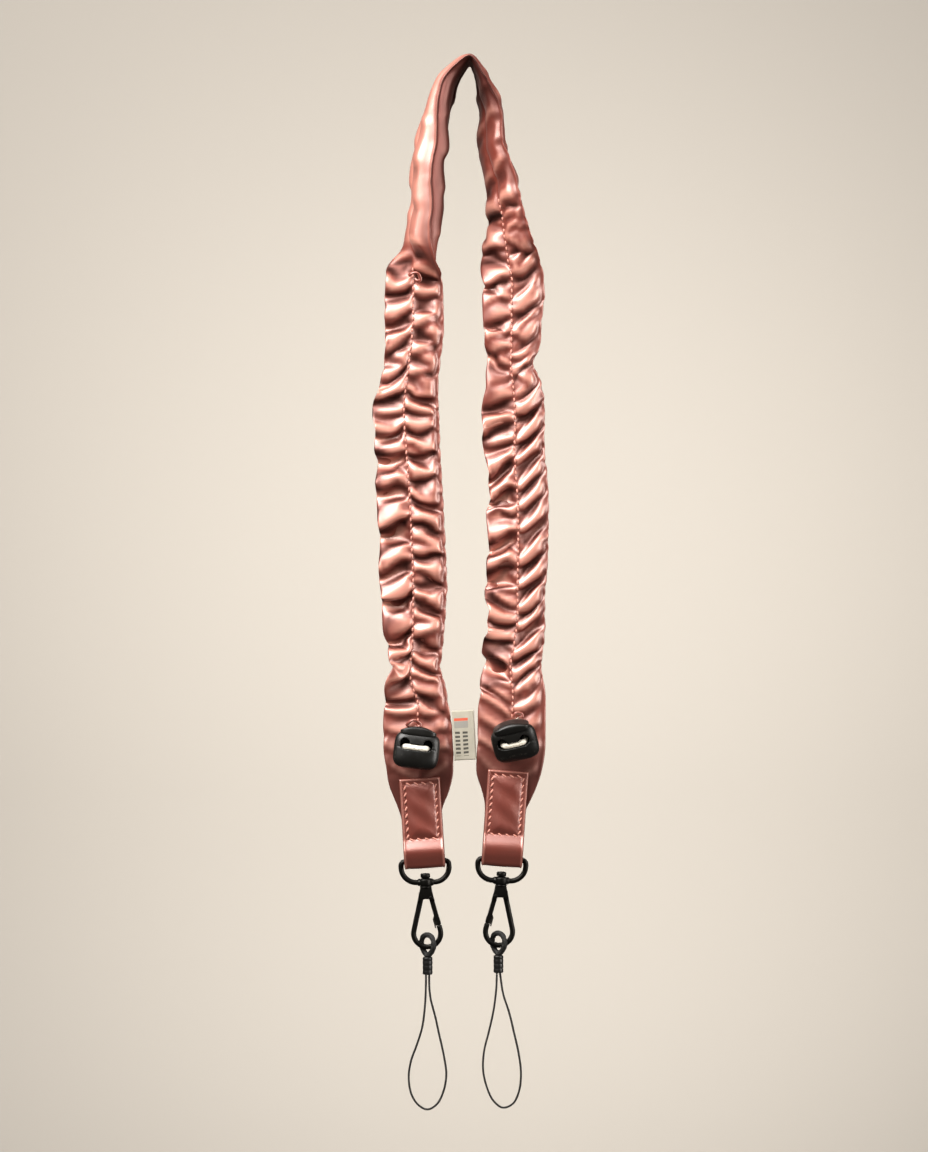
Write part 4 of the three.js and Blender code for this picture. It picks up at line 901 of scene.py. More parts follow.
def flatSleeve(rings, before, after):
    # the cut sleeve, the shape it is guided to, and how firmly each point is held to that
    across, face = roundSteps()
    drop = -columnsOf(rings, "z")
    gather, half, seam = (columnsOf(rings, key) for key in ("gather", "half", "seam"))
    cutHalf = half + sleeve["spareWidth"] * gather
    thick = halfThick(rings)
    onRight = np.arange(len(drop)) >= int(np.argmin(drop))
    edgeLift = np.where(onRight, sleeve["edgeLift"]["right"], sleeve["edgeLift"]["left"])
    rise = edgeLift * gather * smoothStep(drop, *sleeve["liftFrom"])
    lift = np.where(onRight, -rise, rise)
    swell = np.sqrt(np.maximum(gather, sleeve["leastFolds"]))
    seamEase, seamReach = sleeve["seamEase"]
    edgeEase, edgeFrom = sleeve["edgeEase"]
    wave, level = sleeve["edgeWave"]
    flat = np.zeros((len(drop), len(across), 3))
    drawn = flat.copy()
    for k, (step, side) in enumerate(zip(across, face)):
        reach = abs(step)
        nearLeft, nearRight = ("leftOuter", "rightInner") if step < 0 else ("leftInner", "rightOuter")
        at = drop - rise * reach ** sleeve["liftCurve"]
        folds = np.where(
            onRight,
            foldRise(at + (0 if side < 0 else sleeve["farShift"]), reach, sleeve["folds"][nearRight]),
            foldRise(at + (0 if side > 0 else sleeve["farShift"]), reach, sleeve["folds"][nearLeft]))
        out = thick * math.sqrt(max(1 - reach**2, 0)) + sleeve["skin"]
        ease = 1 - seamEase * (1 - smoothStep(reach, 0, seamReach)) - edgeEase * smoothStep(reach, edgeFrom, 1)
        lower, low, high = sleeve["sewnFlank"] if step > 0 else sleeve["openFlank"]
        flank = 1 - lower * smoothStep(reach, low, high)
        full = out + (folds * ease + sleeve["foldMiddle"] * (1 - ease)) * swell * flank
        if step >= sleeve["sideSeam"]:
            out = full = sleeve["seamPinch"] if step == sleeve["sideSeam"] else sleeve["rim"]
        pushed = 1 + wave * (folds - level) * gather if step < 0 else 1
        middle = seam * (1 - reach)
        onEdge = reach == 1
        flat[:, k, 0] = step * cutHalf + middle
        flat[:, k, 1] = 0 if onEdge else -side * (out + full) / 2
        flat[:, k, 2] = before
        drawn[:, k, 0] = step * half * pushed + middle
        drawn[:, k, 1] = 0 if onEdge else -side * full
        drawn[:, k, 2] = after + lift * reach ** sleeve["liftCurve"]
    drawn[:, across == 0, 1] *= 1 - sleeve["seamDip"]
    held = np.tile((sleeve["clothHold"] + sleeve["calmHold"] * (1 - gather))[:, None], (1, len(across)))
    held[np.ix_(onRight, across > 0)] += sleeve["slantHold"]
    held[:, across == -1] = sleeve["edgeHold"][0]
    held[:, across >= sleeve["sideSeam"]] = sleeve["edgeHold"][1]
    held[:, across == 0] = 1
    firm, fade = sleeve["endHold"]
    end = sleeve["endHeld"]
    held = np.maximum(held, firm * smoothStep(drop, end - fade, end)[:, None] ** 2)
    held[drop > end] = 1
    return flat, drawn, held


def gatherCloth(flat, drawn, held):
    # the cut sleeve is drawn up along its seam, and the cloth buckles by itself
    rings, sides = flat.shape[:2]
    size = sleeve["workScale"] * mm
    mesh = bpy.data.meshes.new("sleeveCloth")
    mesh.from_pydata((flat.reshape(-1, 3) * size).tolist(), [], gridFaces(rings, sides))
    cloth = linkObject("sleeveCloth", mesh)
    cloth.shape_key_add(name="cut")
    key = cloth.shape_key_add(name="drawn")
    key.data.foreach_set("co", (drawn.reshape(-1, 3) * size).ravel())
    key.value = 0
    key.keyframe_insert("value", frame=1)
    key.value = 1
    key.keyframe_insert("value", frame=sleeve["drawFrames"])
    for curve in mesh.shape_keys.animation_data.action.fcurves:
        for point in curve.keyframe_points:
            point.interpolation = "LINEAR"
    pins = cloth.vertex_groups.new(name="held")
    levels = np.round(held.ravel(), 3)
    for level in np.unique(levels):
        pins.add(np.nonzero(levels == level)[0].tolist(), float(level), "REPLACE")
    modifier = cloth.modifiers.new("gather", "CLOTH")
    for key, value in sleeve["solver"].items():
        setattr(modifier.settings, key, value)
    modifier.settings.effector_weights.gravity = 0
    modifier.collision_settings.use_collision = False
    modifier.point_cache.frame_start = 1
    modifier.point_cache.frame_end = sleeve["frames"]
    scene.frame_start, scene.frame_end = 1, sleeve["frames"]
    for frameNumber in range(1, sleeve["frames"] + 1):
        scene.frame_set(frameNumber)
    shaped = cloth.evaluated_get(bpy.context.evaluated_depsgraph_get()).to_mesh()
    gathered = readPoints(shaped).reshape(flat.shape) / size
    scene.frame_set(1)
    bpy.data.objects.remove(cloth)
    bpy.data.meshes.remove(mesh)
    return gathered


def easeOut(cloth, held):
    # takes out the smallest buckles, which are only as large as the cells
    free = (held < 0.99)[:, :, None]
    for _ in range(sleeve["easeTurns"]):
        along = (np.roll(cloth, 1, axis=0) + np.roll(cloth, -1, axis=0)) / 2
        along[0], along[-1] = cloth[0], cloth[-1]
        cloth = np.where(free, (cloth + along) / 2, cloth)
    return cloth


def keepApart(cloth, rings):
    # the near and the far face never pass through each other or stand too far out
    across, face = roundSteps()
    limit = sleeve["mostOut"] + halfThick(rings)[:, None]
    cloth[:, :, 1] = np.clip(cloth[:, :, 1], -limit, limit)
    sides = len(across)
    for k in range(1, sides // 2):
        other = sides - k
        middle = (cloth[:, k, 1] + cloth[:, other, 1]) / 2
        gap = np.maximum((cloth[:, other, 1] - cloth[:, k, 1]) / 2, sleeve["leastGap"] / 2)
        if across[k] == sleeve["sideSeam"]:      # sewn through along the side
            gap = np.minimum(gap, sleeve["seamPinch"])
        cloth[:, k, 1], cloth[:, other, 1] = middle - gap, middle + gap
    return cloth


def pathFrames(path):
    along = np.gradient(path[:, :3], axis=0)
    along = evenOut(along / np.linalg.norm(along, axis=1)[:, None], sleeve["turnWindow"])
    return along / np.linalg.norm(along, axis=1)[:, None]


def hangCloth(cloth, path, gone):
    # lays the straight sleeve along the curve it hangs in
    along = pathFrames(path)
    at = np.clip(cloth[..., 2], 0, gone[-1])
    middle = np.stack([np.interp(at, gone, path[:, k]) for k in range(4)], axis=-1)
    run = np.stack([np.interp(at, gone, along[:, k]) for k in range(3)], axis=-1)
    run /= np.linalg.norm(run, axis=-1)[..., None]
    turn = np.radians(middle[..., 3])
    wide = np.stack([np.cos(turn), -np.sin(turn), 0 * turn], axis=-1)
    wide -= run * (wide * run).sum(-1)[..., None]
    wide /= np.linalg.norm(wide, axis=-1)[..., None]
    out = np.cross(wide, run)
    return middle[..., :3] + wide * cloth[..., 0:1] - out * cloth[..., 1:2]


def foldShade(cloth):
    # painted shade by how deep in a fold, from the height against the cloth around it, and painted highlight by how
    # sharp the crest
    height = np.abs(cloth[:, :, 1])
    far, near = sleeve["shadeReach"]
    around = sum(np.roll(height, shift, axis=0) for shift in range(-far, far + 1)) / (2 * far + 1)
    beside = sum(np.roll(height, shift, axis=0) for shift in (-near, 1 - near, near - 1, near)) / 4
    valleyFrom, valleyFull = sleeve["valleyDepth"]
    crestFrom, crestFull = sleeve["crestHeight"]
    paintedShadeAndDent = np.clip((around - height - valleyFrom) / valleyFull, 0, 1)
    return paintedShadeAndDent, np.clip((height - beside - crestFrom) / crestFull, 0, 1)


def makeSleeve():
    across, face = roundSteps()
    path, gone = sleevePath()
    rings, before, after = sleeveGrid(path, gone)
    flat, drawn, held = flatSleeve(rings, before, after)
    cloth = gatherCloth(flat, drawn, held)
    cloth = keepApart(easeOut(cloth, held), rings)
    hung = hangCloth(cloth, path, gone)
    count, sides = hung.shape[:2]
    piece = makeMesh("satinSleeve", hung.reshape(-1, 3) * mm, gridFaces(count, sides, capped=True), gatheredSatin)
    mesh = piece.data
    # painted shade in valleys and painted highlight on crests, from the heights of the gathered cloth
    paintedShadeAndDent, paintedHighlight = foldShade(cloth)
    # painted shade: the flat ends and the face turned into the loop are painted darker
    sewn = smoothStep(-columnsOf(rings, "z"), *sleeve["endShade"][1:])[:, None]
    paintedShadeAndDent = np.maximum(paintedShadeAndDent, sleeve["endShade"][0] * sewn)
    turned = smoothStep(columnsOf(rings, "turn"), *sleeve["insideShade"][1:])[:, None]
    paintedShadeAndDent = np.maximum(paintedShadeAndDent, sleeve["insideShade"][0] * turned * (face < 0))
    # painted highlight on the left leg's outer face, where it catches the light
    onLeft = (np.arange(count) < np.argmax(columnsOf(rings, "z")))[:, None]
    paintedHighlight = np.maximum(paintedHighlight, sleeve["outsideShine"] * turned * (face > 0) * onLeft)
    writeFloats(mesh, "paintedShadeAndDent", paintedShadeAndDent.ravel())
    writeFloats(mesh, "paintedHighlight", paintedHighlight.ravel())
    writeFloats(mesh, "seamLine", np.tile(across == sleeve["sideSeam"], count))
    writeCloth(mesh, np.stack([np.tile(across, count) * sleeve["clothHalf"], np.repeat(before, sides)], axis=1))
    if mesh.polygons[0].normal.dot(mesh.polygons[0].center - Vector(hung[0].mean(0) * mm)) < 0:
        mesh.flip_normals()
    fine = piece.modifiers.new("fine", "SUBSURF")
    fine.levels = fine.render_levels = 1
    applyModifiers(piece)
    hangOn(piece, "strap", "satin", "satin_sleeve")
    return piece, path, gone, cloth


satinSleeve, sleeveLine, sleeveGone, sleeveCloth = makeSleeve()
print("sleeve gathered, faces", len(satinSleeve.data.polygons))


def alongLine(line):
    # direction at each point of a line
    run = np.gradient(np.asarray(line, float), axis=0)
    return run / np.linalg.norm(run, axis=1)[:, None]


def sweepTube(line, radius, sides=16, closed=False, up=(0, 1, 0)):
    # rings of points round a line; radius is a number or a function of distance and angle
    line = np.asarray(line, float)
    run = alongLine(line)
    if closed:
        run[0] = run[-1] = (line[1] - line[-1]) / np.linalg.norm(line[1] - line[-1])
    across = np.cross(run[0], up)
    across /= np.linalg.norm(across)
    gone = lengthAlong(line)
    points = []
    for place, way, distance in zip(line, run, gone):
        across = across - way * np.dot(across, way)
        across /= np.linalg.norm(across)
        over = np.cross(way, across)
        for k in range(sides):
            angle = 2 * math.pi * k / sides
            size = radius(distance, angle) if callable(radius) else radius
            points.append(place + size * (math.cos(angle) * across + math.sin(angle) * over))
    faces = gridFaces(len(line), sides, capped=not closed)
    if closed:
        last = (len(line) - 1) * sides
        faces += [(last + k, last + (k + 1) % sides, (k + 1) % sides, k) for k in range(sides)]
    return points, faces


def turnedForm(profile, sides=32):
    # a profile of (radius, height) turned about z
    points = []
    for radius, height in profile:
        for k in range(sides):
            angle = 2 * math.pi * k / sides
            points.append((radius * math.cos(angle), radius * math.sin(angle), height))
    return points, gridFaces(len(profile), sides, capped=True)


def gather(forms):
    # several forms as one set of points and faces
    points, faces = [], []
    for morePoints, moreFaces in forms:
        start = len(points)
        points += [tuple(p) for p in morePoints]
        faces += [tuple(start + v for v in face) for face in moreFaces]
    return points, faces


def moveForm(form, matrix):
    points, faces = form
    return [tuple(matrix @ Vector(p)) for p in points], faces


def outwardNormals(piece):
    work = bmesh.new()
    work.from_mesh(piece.data)
    bmesh.ops.recalc_face_normals(work, faces=work.faces)
    work.to_mesh(piece.data)
    work.free()


def scaleForm(form):
    points, faces = form
    return [tuple(float(v) * mm for v in p) for p in points], faces


def formPiece(name, form, finish):
    # an object from points and faces in millimetres
    piece = makeMesh(name, *scaleForm(form), finish)
    outwardNormals(piece)
    return piece


def hangForm(name, form, finish, place, body, slot, *nodes):
    piece = formPiece(name, form, finish)
    turnMesh(piece, place)
    return hangOn(piece, body, slot, *nodes)


# thread beads, for every stitched line
def threadBeads(spots, length, radius):
    # spots are (middle, direction); each bead swells between its two needle holes
    rounds = [(-1, 0.15), (-0.86, 0.55), (-0.5, 0.9), (0, 1), (0.5, 0.9), (0.86, 0.55), (1, 0.15)]
    sides, forms = 7, []
    for middle, way in spots:
        line = [np.asarray(middle, float) + np.asarray(way, float) * length / 2 * t for t, _ in rounds]
        points, faces = sweepTube(line, 1.0, sides, up=(0.3, 1, 0.2))
        for i, (_, swell) in enumerate(rounds):
            for k in range(i * sides, (i + 1) * sides):
                points[k] = line[i] + (points[k] - line[i]) * radius * swell
        forms.append((points, faces))
    return gather(forms)


channelStitch = {
    "pitch": 2.9,
    "length": 1.9,
    "radius": 0.46,
    "lift": 0.28,       # above the cloth
    "slant": 0.12,      # sideways for each millimetre along
    "from": 36.0,       # from either end of the sleeve
    "below": {"left": 101.0, "right": 68.0},        # the channel starts this far below the hanging point
}


def makeChannelStitches():
    spots = []
    stops = np.arange(channelStitch["from"], sleeveGone[-1] - channelStitch["from"], channelStitch["pitch"])
    drop = -np.interp(stops, sleeveGone, columnsOf(sleeveLine, "z"))
    below = channelStitch["below"]
    stops = stops[drop > np.where(stops < stops[np.argmin(drop)], below["left"], below["right"])]
    across, face = roundSteps()
    for side in (1, -1):
        seam = sleeveCloth[:, np.nonzero((across == 0) & (face == side))[0][0]]
        level = np.interp(stops, seam[:, 2], seam[:, 1]) - side * channelStitch["lift"]
        cloth = np.stack([np.interp(stops, seam[:, 2], seam[:, 0]), level, stops], axis=1)
        ahead = cloth + np.array([channelStitch["slant"], 0, 1.0])
        here = hangCloth(cloth, sleeveLine, sleeveGone)
        there = hangCloth(ahead, sleeveLine, sleeveGone)
        for a, b in zip(here, there):
            spots.append((a, (b - a) / np.linalg.norm(b - a)))
    beads = threadBeads(spots, channelStitch["length"], channelStitch["radius"])
    hangOn(formPiece("channelStitches", beads, sewingThread), "strap", "satin")
    print("channel stitches", len(spots))


makeChannelStitches()


# the gathered mouths where the drawcord leaves its channel
mouth = {
    # x and z, how far in front, its lean in degrees and half its width; knot is the curl where the ruching starts
    "lips": {
        "left": (-26.3, -316.2, -3.5, 10, 2.9),
        "right": (22.2, -312.6, -3.5, -25, 2.0),
        "knot": (-25.2, -104.2, -4.4, 35, 2.6),
    },
    # its line: x in half widths, then y and z
    "route": [(-1.15, 1.4, -2.3), (-1, 0.2, -1.15), (-0.55, -0.4, 0.3), (0, -0.6, 0.75), (0.5, -0.5, 0.2),
              (1, -0.2, -1.035), (0.75, -0.3, -2.3), (0.2, 0.5, -1.955)],
    "radius": 0.72,
    "swell": 0.22,
    "points": 60,
}


def makeMouth(name):
    # a small rolled lip of the same satin, arched over the cord
    x, z, level, tilt, wide = mouth["lips"][name]
    line = smoothLine([(u * wide, y, height) for u, y, height in mouth["route"]], mouth["points"])

    def size(distance, angle):
        return mouth["radius"] * (1 + mouth["swell"] * math.cos(2 * angle + distance * 0.8))

    place = matrixAt((x, level, z), roll=tilt)
    hangForm(f"cordMouth_{name}", sweepTube(line, size, 18), gatheredSatin, place, "strap", "satin")


for name in mouth["lips"]:
    makeMouth(name)


# end tabs: a strip folded round the ring's bar and box-stitched through the sleeve
tab = {
    "half": 9.7,
    "length": {"left": 39.6, "right": 42.4},        # above the ring's bar
    "boxFoot": {"left": 10.6, "right": 11.8},
    "boxInset": 2.5,        # the stitched box, in from the edges
    "thick": 0.58,
    "foldRadius": 2.65,     # round the ring's bar
    "waist": 1.85,
    "topGap": 1.75,
    "rollHeight": 0.34,     # the rolled edge
    "rollAt": 0.6,
    "rollWide": 0.42,
    "edgeRound": 0.6,
    "groove": 0.32,         # the thread sinks this far in
    "grooveWide": 0.55,
    "puff": 1.3,            # the padding inside the box
    "puffReach": 6.0,       # full this far in from the stitches
    "puffWave": (0.8, 0.2, 0.55, 0.4),      # even share, uneven share, its turns up and across
    "crown": 0.25,
    "backShare": 0.985,     # the inner face is a little narrower
    "dentShade": 0.8,
    "backShade": 0.3,
    "rows": 230,
    "columns": 58,
    "backColumns": 16,
    "stitchPitch": 3.3,
    "stitchLength": 2.5,
    "stitchRadius": 0.42,
    "stitchSlant": 32,
    "stitchLift": 0.12,
}


def tabLine(side):
    top, fold, waist, gap = tab["length"][side], tab["foldRadius"], tab["waist"], tab["topGap"]
    foot = tab["boxFoot"][side]
    front = [(0, -gap, top), (0, -gap, top * 0.75), (0, -waist, foot + 4), (0, -waist + 0.1, foot),
             (0, -fold - 1.7, foot - 5.2), (0, -fold - 1.5, 3.4), (0, -fold - 0.2, 0)]
    turn = [(0, -fold * math.cos(a), -fold * math.sin(a)) for a in (math.pi / 4, math.pi / 2, 3 * math.pi / 4)]
    return front + turn + [(x, -y, z) for x, y, z in reversed(front)]


def boxDistance(side, x, z):
    # how far inside the stitched box a point is, negative outside
    top, foot = tab["length"][side] - tab["boxInset"], tab["boxFoot"][side]
    half = tab["half"] - tab["boxInset"]
    return min(half - abs(x), top - z, z - foot)


def tabRelief(side, x, z, onPly):
    toSide = tab["half"] - abs(x)
    toTop = tab["length"][side] - z if onPly else 99
    toEdge = min(toSide, toTop)
    roll = tab["rollHeight"] * math.exp(-(((toEdge - tab["rollAt"]) / tab["rollWide"]) ** 2))
    inside = boxDistance(side, x, z) if onPly else -9
    phase = 0.7 + 0.3 * math.cos(2 * math.pi * (x + z) / tab["stitchPitch"])
    groove = tab["groove"] * phase * math.exp(-((inside / tab["grooveWide"]) ** 2))
    share = min(max(inside / tab["puffReach"], 0), 1)
    even, uneven, up, over = tab["puffWave"]
    puff = tab["puff"] * math.sin(math.pi * share / 2) * (even + uneven * math.sin(up * z + over * x))
    crown = tab["crown"] * (1 - (x / tab["half"]) ** 2)
    return roll - groove + puff + crown, groove / tab["groove"], roll / tab["rollHeight"]


def roundOff(distance, reach, least=0.0):
    # 0 at an edge and 1 from reach inwards, round like a quarter circle
    return math.sqrt(max(1 - (1 - min(distance / reach, 1)) ** 2, least))


def makeTab(side):
    line = smoothLine(tabLine(side), tab["rows"])
    outer = np.linspace(-1, 1, tab["columns"])
    inner = np.linspace(1, -1, tab["backColumns"])
    points, dents, edges, cloth = [], [], [], []
    for i, (place, way, gone) in enumerate(zip(line, alongLine(line), lengthAlong(line))):
        out = np.array([0, way[2], -way[1]])
        toEnd = min(i, len(line) - 1 - i) * tab["length"][side] * 2.2 / tab["rows"]
        ending = roundOff(toEnd, tab["edgeRound"], 0.02)
        for u in outer:
            x = u * tab["half"]
            rise, dent, edge = tabRelief(side, x, place[2], place[2] > 0)
            rounding = roundOff(tab["half"] - abs(x), tab["edgeRound"]) * ending
            spot = place + out * (tab["thick"] + rise) * rounding
            points.append((x, spot[1], spot[2]))
            dents.append(dent * tab["dentShade"])
            edges.append(edge)
            cloth.append((x, gone))
        for u in inner:
            x = u * tab["half"] * tab["backShare"]
            spot = place - out * tab["thick"] * ending * (1 if abs(u) < 1 else 0.3)
            points.append((x, spot[1], spot[2]))
            dents.append(tab["backShade"])
            edges.append(0)
            cloth.append((x, gone))
    faces = gridFaces(len(line), len(outer) + len(inner), capped=True)
    piece = makeMesh(f"endTab_{side}", [Vector(p) * mm for p in points], faces, tabSatin)
    writeFloats(piece.data, "paintedShadeAndDent", dents)
    # painted highlight along the rolled edge
    writeFloats(piece.data, "edge", edges)
    writeCloth(piece.data, cloth)
    outwardNormals(piece)
    turnMesh(piece, tabFrame(side))
    hangOn(piece, "strap", "tab_satin", f"end_tab_{side}")
    return line


def makeTabStitches(side, line):
    top = tab["length"][side] - tab["boxInset"]
    foot = tab["boxFoot"][side]
    half = tab["half"] - tab["boxInset"]
    down = max(round((top - foot) / tab["stitchPitch"]), 1)
    over = max(round(2 * half / tab["stitchPitch"]), 1)
    corners = []
    for i in range(down):
        z = top - (i + 0.5) * (top - foot) / down
        corners += [(-half, z, 90), (half, z, 90)]
    for i in range(over):
        x = -half + (i + 0.5) * 2 * half / over
        corners += [(x, top, 0), (x, foot, 0)]
    ply = line[: len(line) // 2]
    spots = []
    for x, z, angle in corners:
        level = float(np.interp(z, ply[::-1, 2], ply[::-1, 1]))
        rise = tabRelief(side, x, z, True)[0]
        slant = math.radians(angle - tab["stitchSlant"])
        for face in (1, -1):
            y = face * (level - tab["thick"] - rise - tab["stitchLift"])
            spots.append(((x, y, z), (math.cos(slant) * face, 0, math.sin(slant))))
    beads = threadBeads(spots, tab["stitchLength"], tab["stitchRadius"])
    hangForm(f"tabStitches_{side}", beads, sewingThread, tabFrame(side), "strap", "tab_satin")


for side in sides:
    makeTabStitches(side, makeTab(side))
print("end tabs sewn")


# cord stoppers: a moulded pillow with two bores, a sprung button on top and the elastic's bight between
stopper = {
    "half": (10.8, 4.7, 8.8),       # wide, deep, high
    "middle": -1.4,         # height of its middle in the stopper's own frame
    "square": 4.2,          # higher is boxier, seen from the front
    "plump": 2.5,           # higher is flatter on the faces
    "bores": ((-5.7, 1.0), (5.1, 1.0)),     # x and z
    "boreHalf": (2.35, 2.7),
    "boreFrom": -3.3,       # blind: the far wall stays
    "boreTo": 8.0,
    "troughLow": -1.9,      # the elastic's bight lies in this
    "troughHigh": 1.1,
    "troughDeep": 3.2,
    "partLevel": -0.6,      # the parting groove
    "partHalf": 0.3,
    "partDeep": 1.75,
    "beyond": 20,           # well outside the body, for the cutters
    "cuts": 15,             # in each face of the cube that it starts from
    "voxel": 0.24,
    "melts": 3,             # rounds of smoothing
    "button": {"half": (8.6, 4.1), "foot": 4.6, "top": 9.9, "crown": 2.3, "square": 4.5, "plump": 3.6},
    "elasticRadius": 1.4,
    "elasticLevel": -0.35,
    "tailSpread": 0.9,      # half the gap between its two tails where they enter the sleeve
    "tailBend": (5.7, 3.4),     # behind the stopper: y and z
}


def pillowForm(half, middle, square, plump):
    # a cube blown up into a squarish pillow
    work = bmesh.new()
    bmesh.ops.create_cube(work, size=2)
    bmesh.ops.subdivide_edges(work, edges=work.edges, cuts=stopper["cuts"], use_grid_fill=True)
    for vert in work.verts:
        x, y, z = vert.co
        face = (abs(x) ** square + abs(z) ** square) ** (plump / square)
        size = (face + abs(y) ** plump) ** (1 / plump)
        vert.co = Vector((x / size * half[0], y / size * half[1], z / size * half[2] + middle))
    return work


def bmeshPiece(work, name, finish):
    for vert in work.verts:
        vert.co *= mm
    mesh = bpy.data.meshes.new(name)
    work.to_mesh(mesh)
    work.free()
    mesh.polygons.foreach_set("use_smooth", [True] * len(mesh.polygons))
    mesh.materials.append(finish)
    return linkObject(name, mesh)


def cutOut(piece, cutter):
    cut = piece.modifiers.new("cut", "BOOLEAN")
    cut.operation = "DIFFERENCE"
    cut.solver = "EXACT"
    cut.object = cutter
    applyModifiers(piece)
    bpy.data.objects.remove(cutter)


def softenMould(piece, voxel, rounds):
    # melts the cut edges together as a moulding has them
    melt = piece.modifiers.new("melt", "REMESH")
    melt.mode = "VOXEL"
    melt.voxel_size = voxel * mm
    ease = piece.modifiers.new("ease", "SMOOTH")
    ease.factor = 0.5
    ease.iterations = rounds
    finish = piece.data.materials[0]
    applyModifiers(piece)
    if not piece.data.materials:
        piece.data.materials.append(finish)


def boreCutter(place):
    x, z = place
    sizeX, sizeZ = stopper["boreHalf"]
    points, faces = turnedForm([(1, stopper["boreFrom"]), (1, stopper["boreTo"])], 28)
    points = [(p[0] * sizeX + x, -p[2], p[1] * sizeZ + z) for p in points]
    return formPiece("boreCutter", (points, faces), blackPlastic)


def boxCutter(low, high):
    corners = [(x, y, z) for x in (low[0], high[0]) for y in (low[1], high[1]) for z in (low[2], high[2])]
    faces = [(0, 1, 3, 2), (4, 6, 7, 5), (0, 4, 5, 1), (2, 3, 7, 6), (0, 2, 6, 4), (1, 5, 7, 3)]
    return formPiece("boxCutter", (corners, faces), blackPlastic)


def makeStopper(side):
    half = stopper["half"]
    body = bmeshPiece(pillowForm(half, stopper["middle"], stopper["square"], stopper["plump"]),
                      f"stopperBody_{side}", blackPlastic)
    for place in stopper["bores"]:
        cutOut(body, boreCutter(place))
    (left, _), (right, _) = stopper["bores"]
    front, beyond, part = -half[1], stopper["beyond"], stopper["partLevel"]
    trough = boxCutter((left, -beyond, stopper["troughLow"]),
                       (right, front + stopper["troughDeep"], stopper["troughHigh"]))
    cutOut(body, trough)
    parting = boxCutter((-beyond, -beyond, part - stopper["partHalf"]),
                        (beyond, front + stopper["partDeep"], part + stopper["partHalf"]))
    cutOut(body, parting)
    softenMould(body, stopper["voxel"], stopper["melts"])
    turnMesh(body, stopperFrame(side))
    hangOn(body, "strap", "black_plastic", f"stopper_body_{side}")

    shape = stopper["button"]
    wide, deep = shape["half"]
    middle, high = (shape["foot"] + shape["top"]) / 2, (shape["top"] - shape["foot"]) / 2
    work = pillowForm((wide, deep, high), middle, shape["square"], shape["plump"])
    for vert in work.verts:      # domed from end to end
        if vert.co.z > middle:
            vert.co.z -= shape["crown"] * (vert.co.x / wide) ** 2 * (vert.co.z - middle) / high
    button = bmeshPiece(work, f"stopperButton_{side}", blackPlastic)
    turnMesh(button, stopperFrame(side))
    hangOn(button, f"button_{side}", "black_plastic", f"stopper_button_{side}")


def braided(radius, strands, lay, depth):
    # a radius that swells once for each strand, the strands winding one turn in lay millimetres
    def size(distance, angle):
        first = math.cos(strands * angle - 2 * math.pi * distance / lay)
        second = math.cos(strands * angle + 2 * math.pi * distance / lay)
        return radius * (1 + depth * (max(first, second) - 0.6))
    return size


def makeElastic(side):
    (left, _), (right, _) = stopper["bores"]
    level = stopper["elasticLevel"]
    front = -stopper["half"][1] + stopper["elasticRadius"] + 0.15
    # both ends run up behind the stopper and into the sleeve under the rolled lip
    x, z = mouth["lips"][side][:2]
    entry = stopperFrame(side).inverted() @ (Vector((x, -1.0, z - 3.0)) * mm) / mm
    spread = stopper["tailSpread"]
    reach, drop = stopper["tailBend"]
    bend = [(0, 4.6), (0, 1.5), (0.1, front + 2.2), (1.0, front + 0.5), (2.8, front)]       # inwards from a bore, and y
    route = [(entry.x - spread, entry.y, entry.z), (left * 0.6, reach, drop)]
    route += [(left + inwards, y, level) for inwards, y in bend]
    route += [(0, front - 0.1, level)]
    route += [(right - inwards, y, level) for inwards, y in reversed(bend)]
    route += [(right * 0.6, reach, drop), (entry.x + spread, entry.y, entry.z)]
    line = smoothLine(route, 170)
    form = sweepTube(line, braided(stopper["elasticRadius"], 6, 3.4, 0.05), 30)
    hangForm(f"drawcord_{side}", form, whiteElastic, stopperFrame(side),
             "strap", "white_elastic", f"drawcord_{side}")


for side in sides:
    makeStopper(side)
    makeElastic(side)
print("stoppers moulded")


# swivel ring: a round wire with the swivel's boss on its lower bar
hardware = {
    "wire": 1.25,           # radius
    "barHalf": 9.4,
    "ringDrop": 10.1,       # from the ring's upper bar to its lower one
    "upperBend": 2.0,
    "lowerBend": 7.2,
    "bossRadius": 3.1,
    "bossHeight": 3.6,
    "weld": [(0.1, -3.9), (1.3, -3.9), (1.75, -3.3), (1.9, 0), (1.75, 3.3), (1.3, 3.9), (0.1, 3.9)],
    "headRadius": 2.3,      # the stem's head, above the boss
    "headHeight": 2.1,
    "stemRadius": 1.2,
    "collarRadius": 2.75,
    "neckHeight": 7.2,
    "neckTop": 5.4,
    "neckFoot": 7.6,
    "neckDeep": 4.6,
    "neckEase": 0.9,
    "armSpread": 2.4,       # where the arm and the gate leave the neck
    "armStart": 5.2,
    "bowRadius": 6.45,
    "bowDrop": 22.2,
    "noseDrop": 18.4,
    "noseReach": 0.2,       # the nose closes up against the gate
    "gateHalf": 1.1,
    "gateDeep": 2.4,
    "gateEase": 0.42,
    "pinRadius": 0.62,
    "play": 0.3,            # between pieces that move
    "easeAngle": 35,        # edges sharper than this are eased
}


def arcPoints(middle, radius, start, end, count):
    angles = np.linspace(math.radians(start), math.radians(end), count)
    return [(middle[0] + radius * math.cos(a), 0, middle[1] + radius * math.sin(a)) for a in angles]


def evenLine(points, count, closed=False):
    return evenSteps(np.array(points + points[:1] if closed else points, float), count, closed)


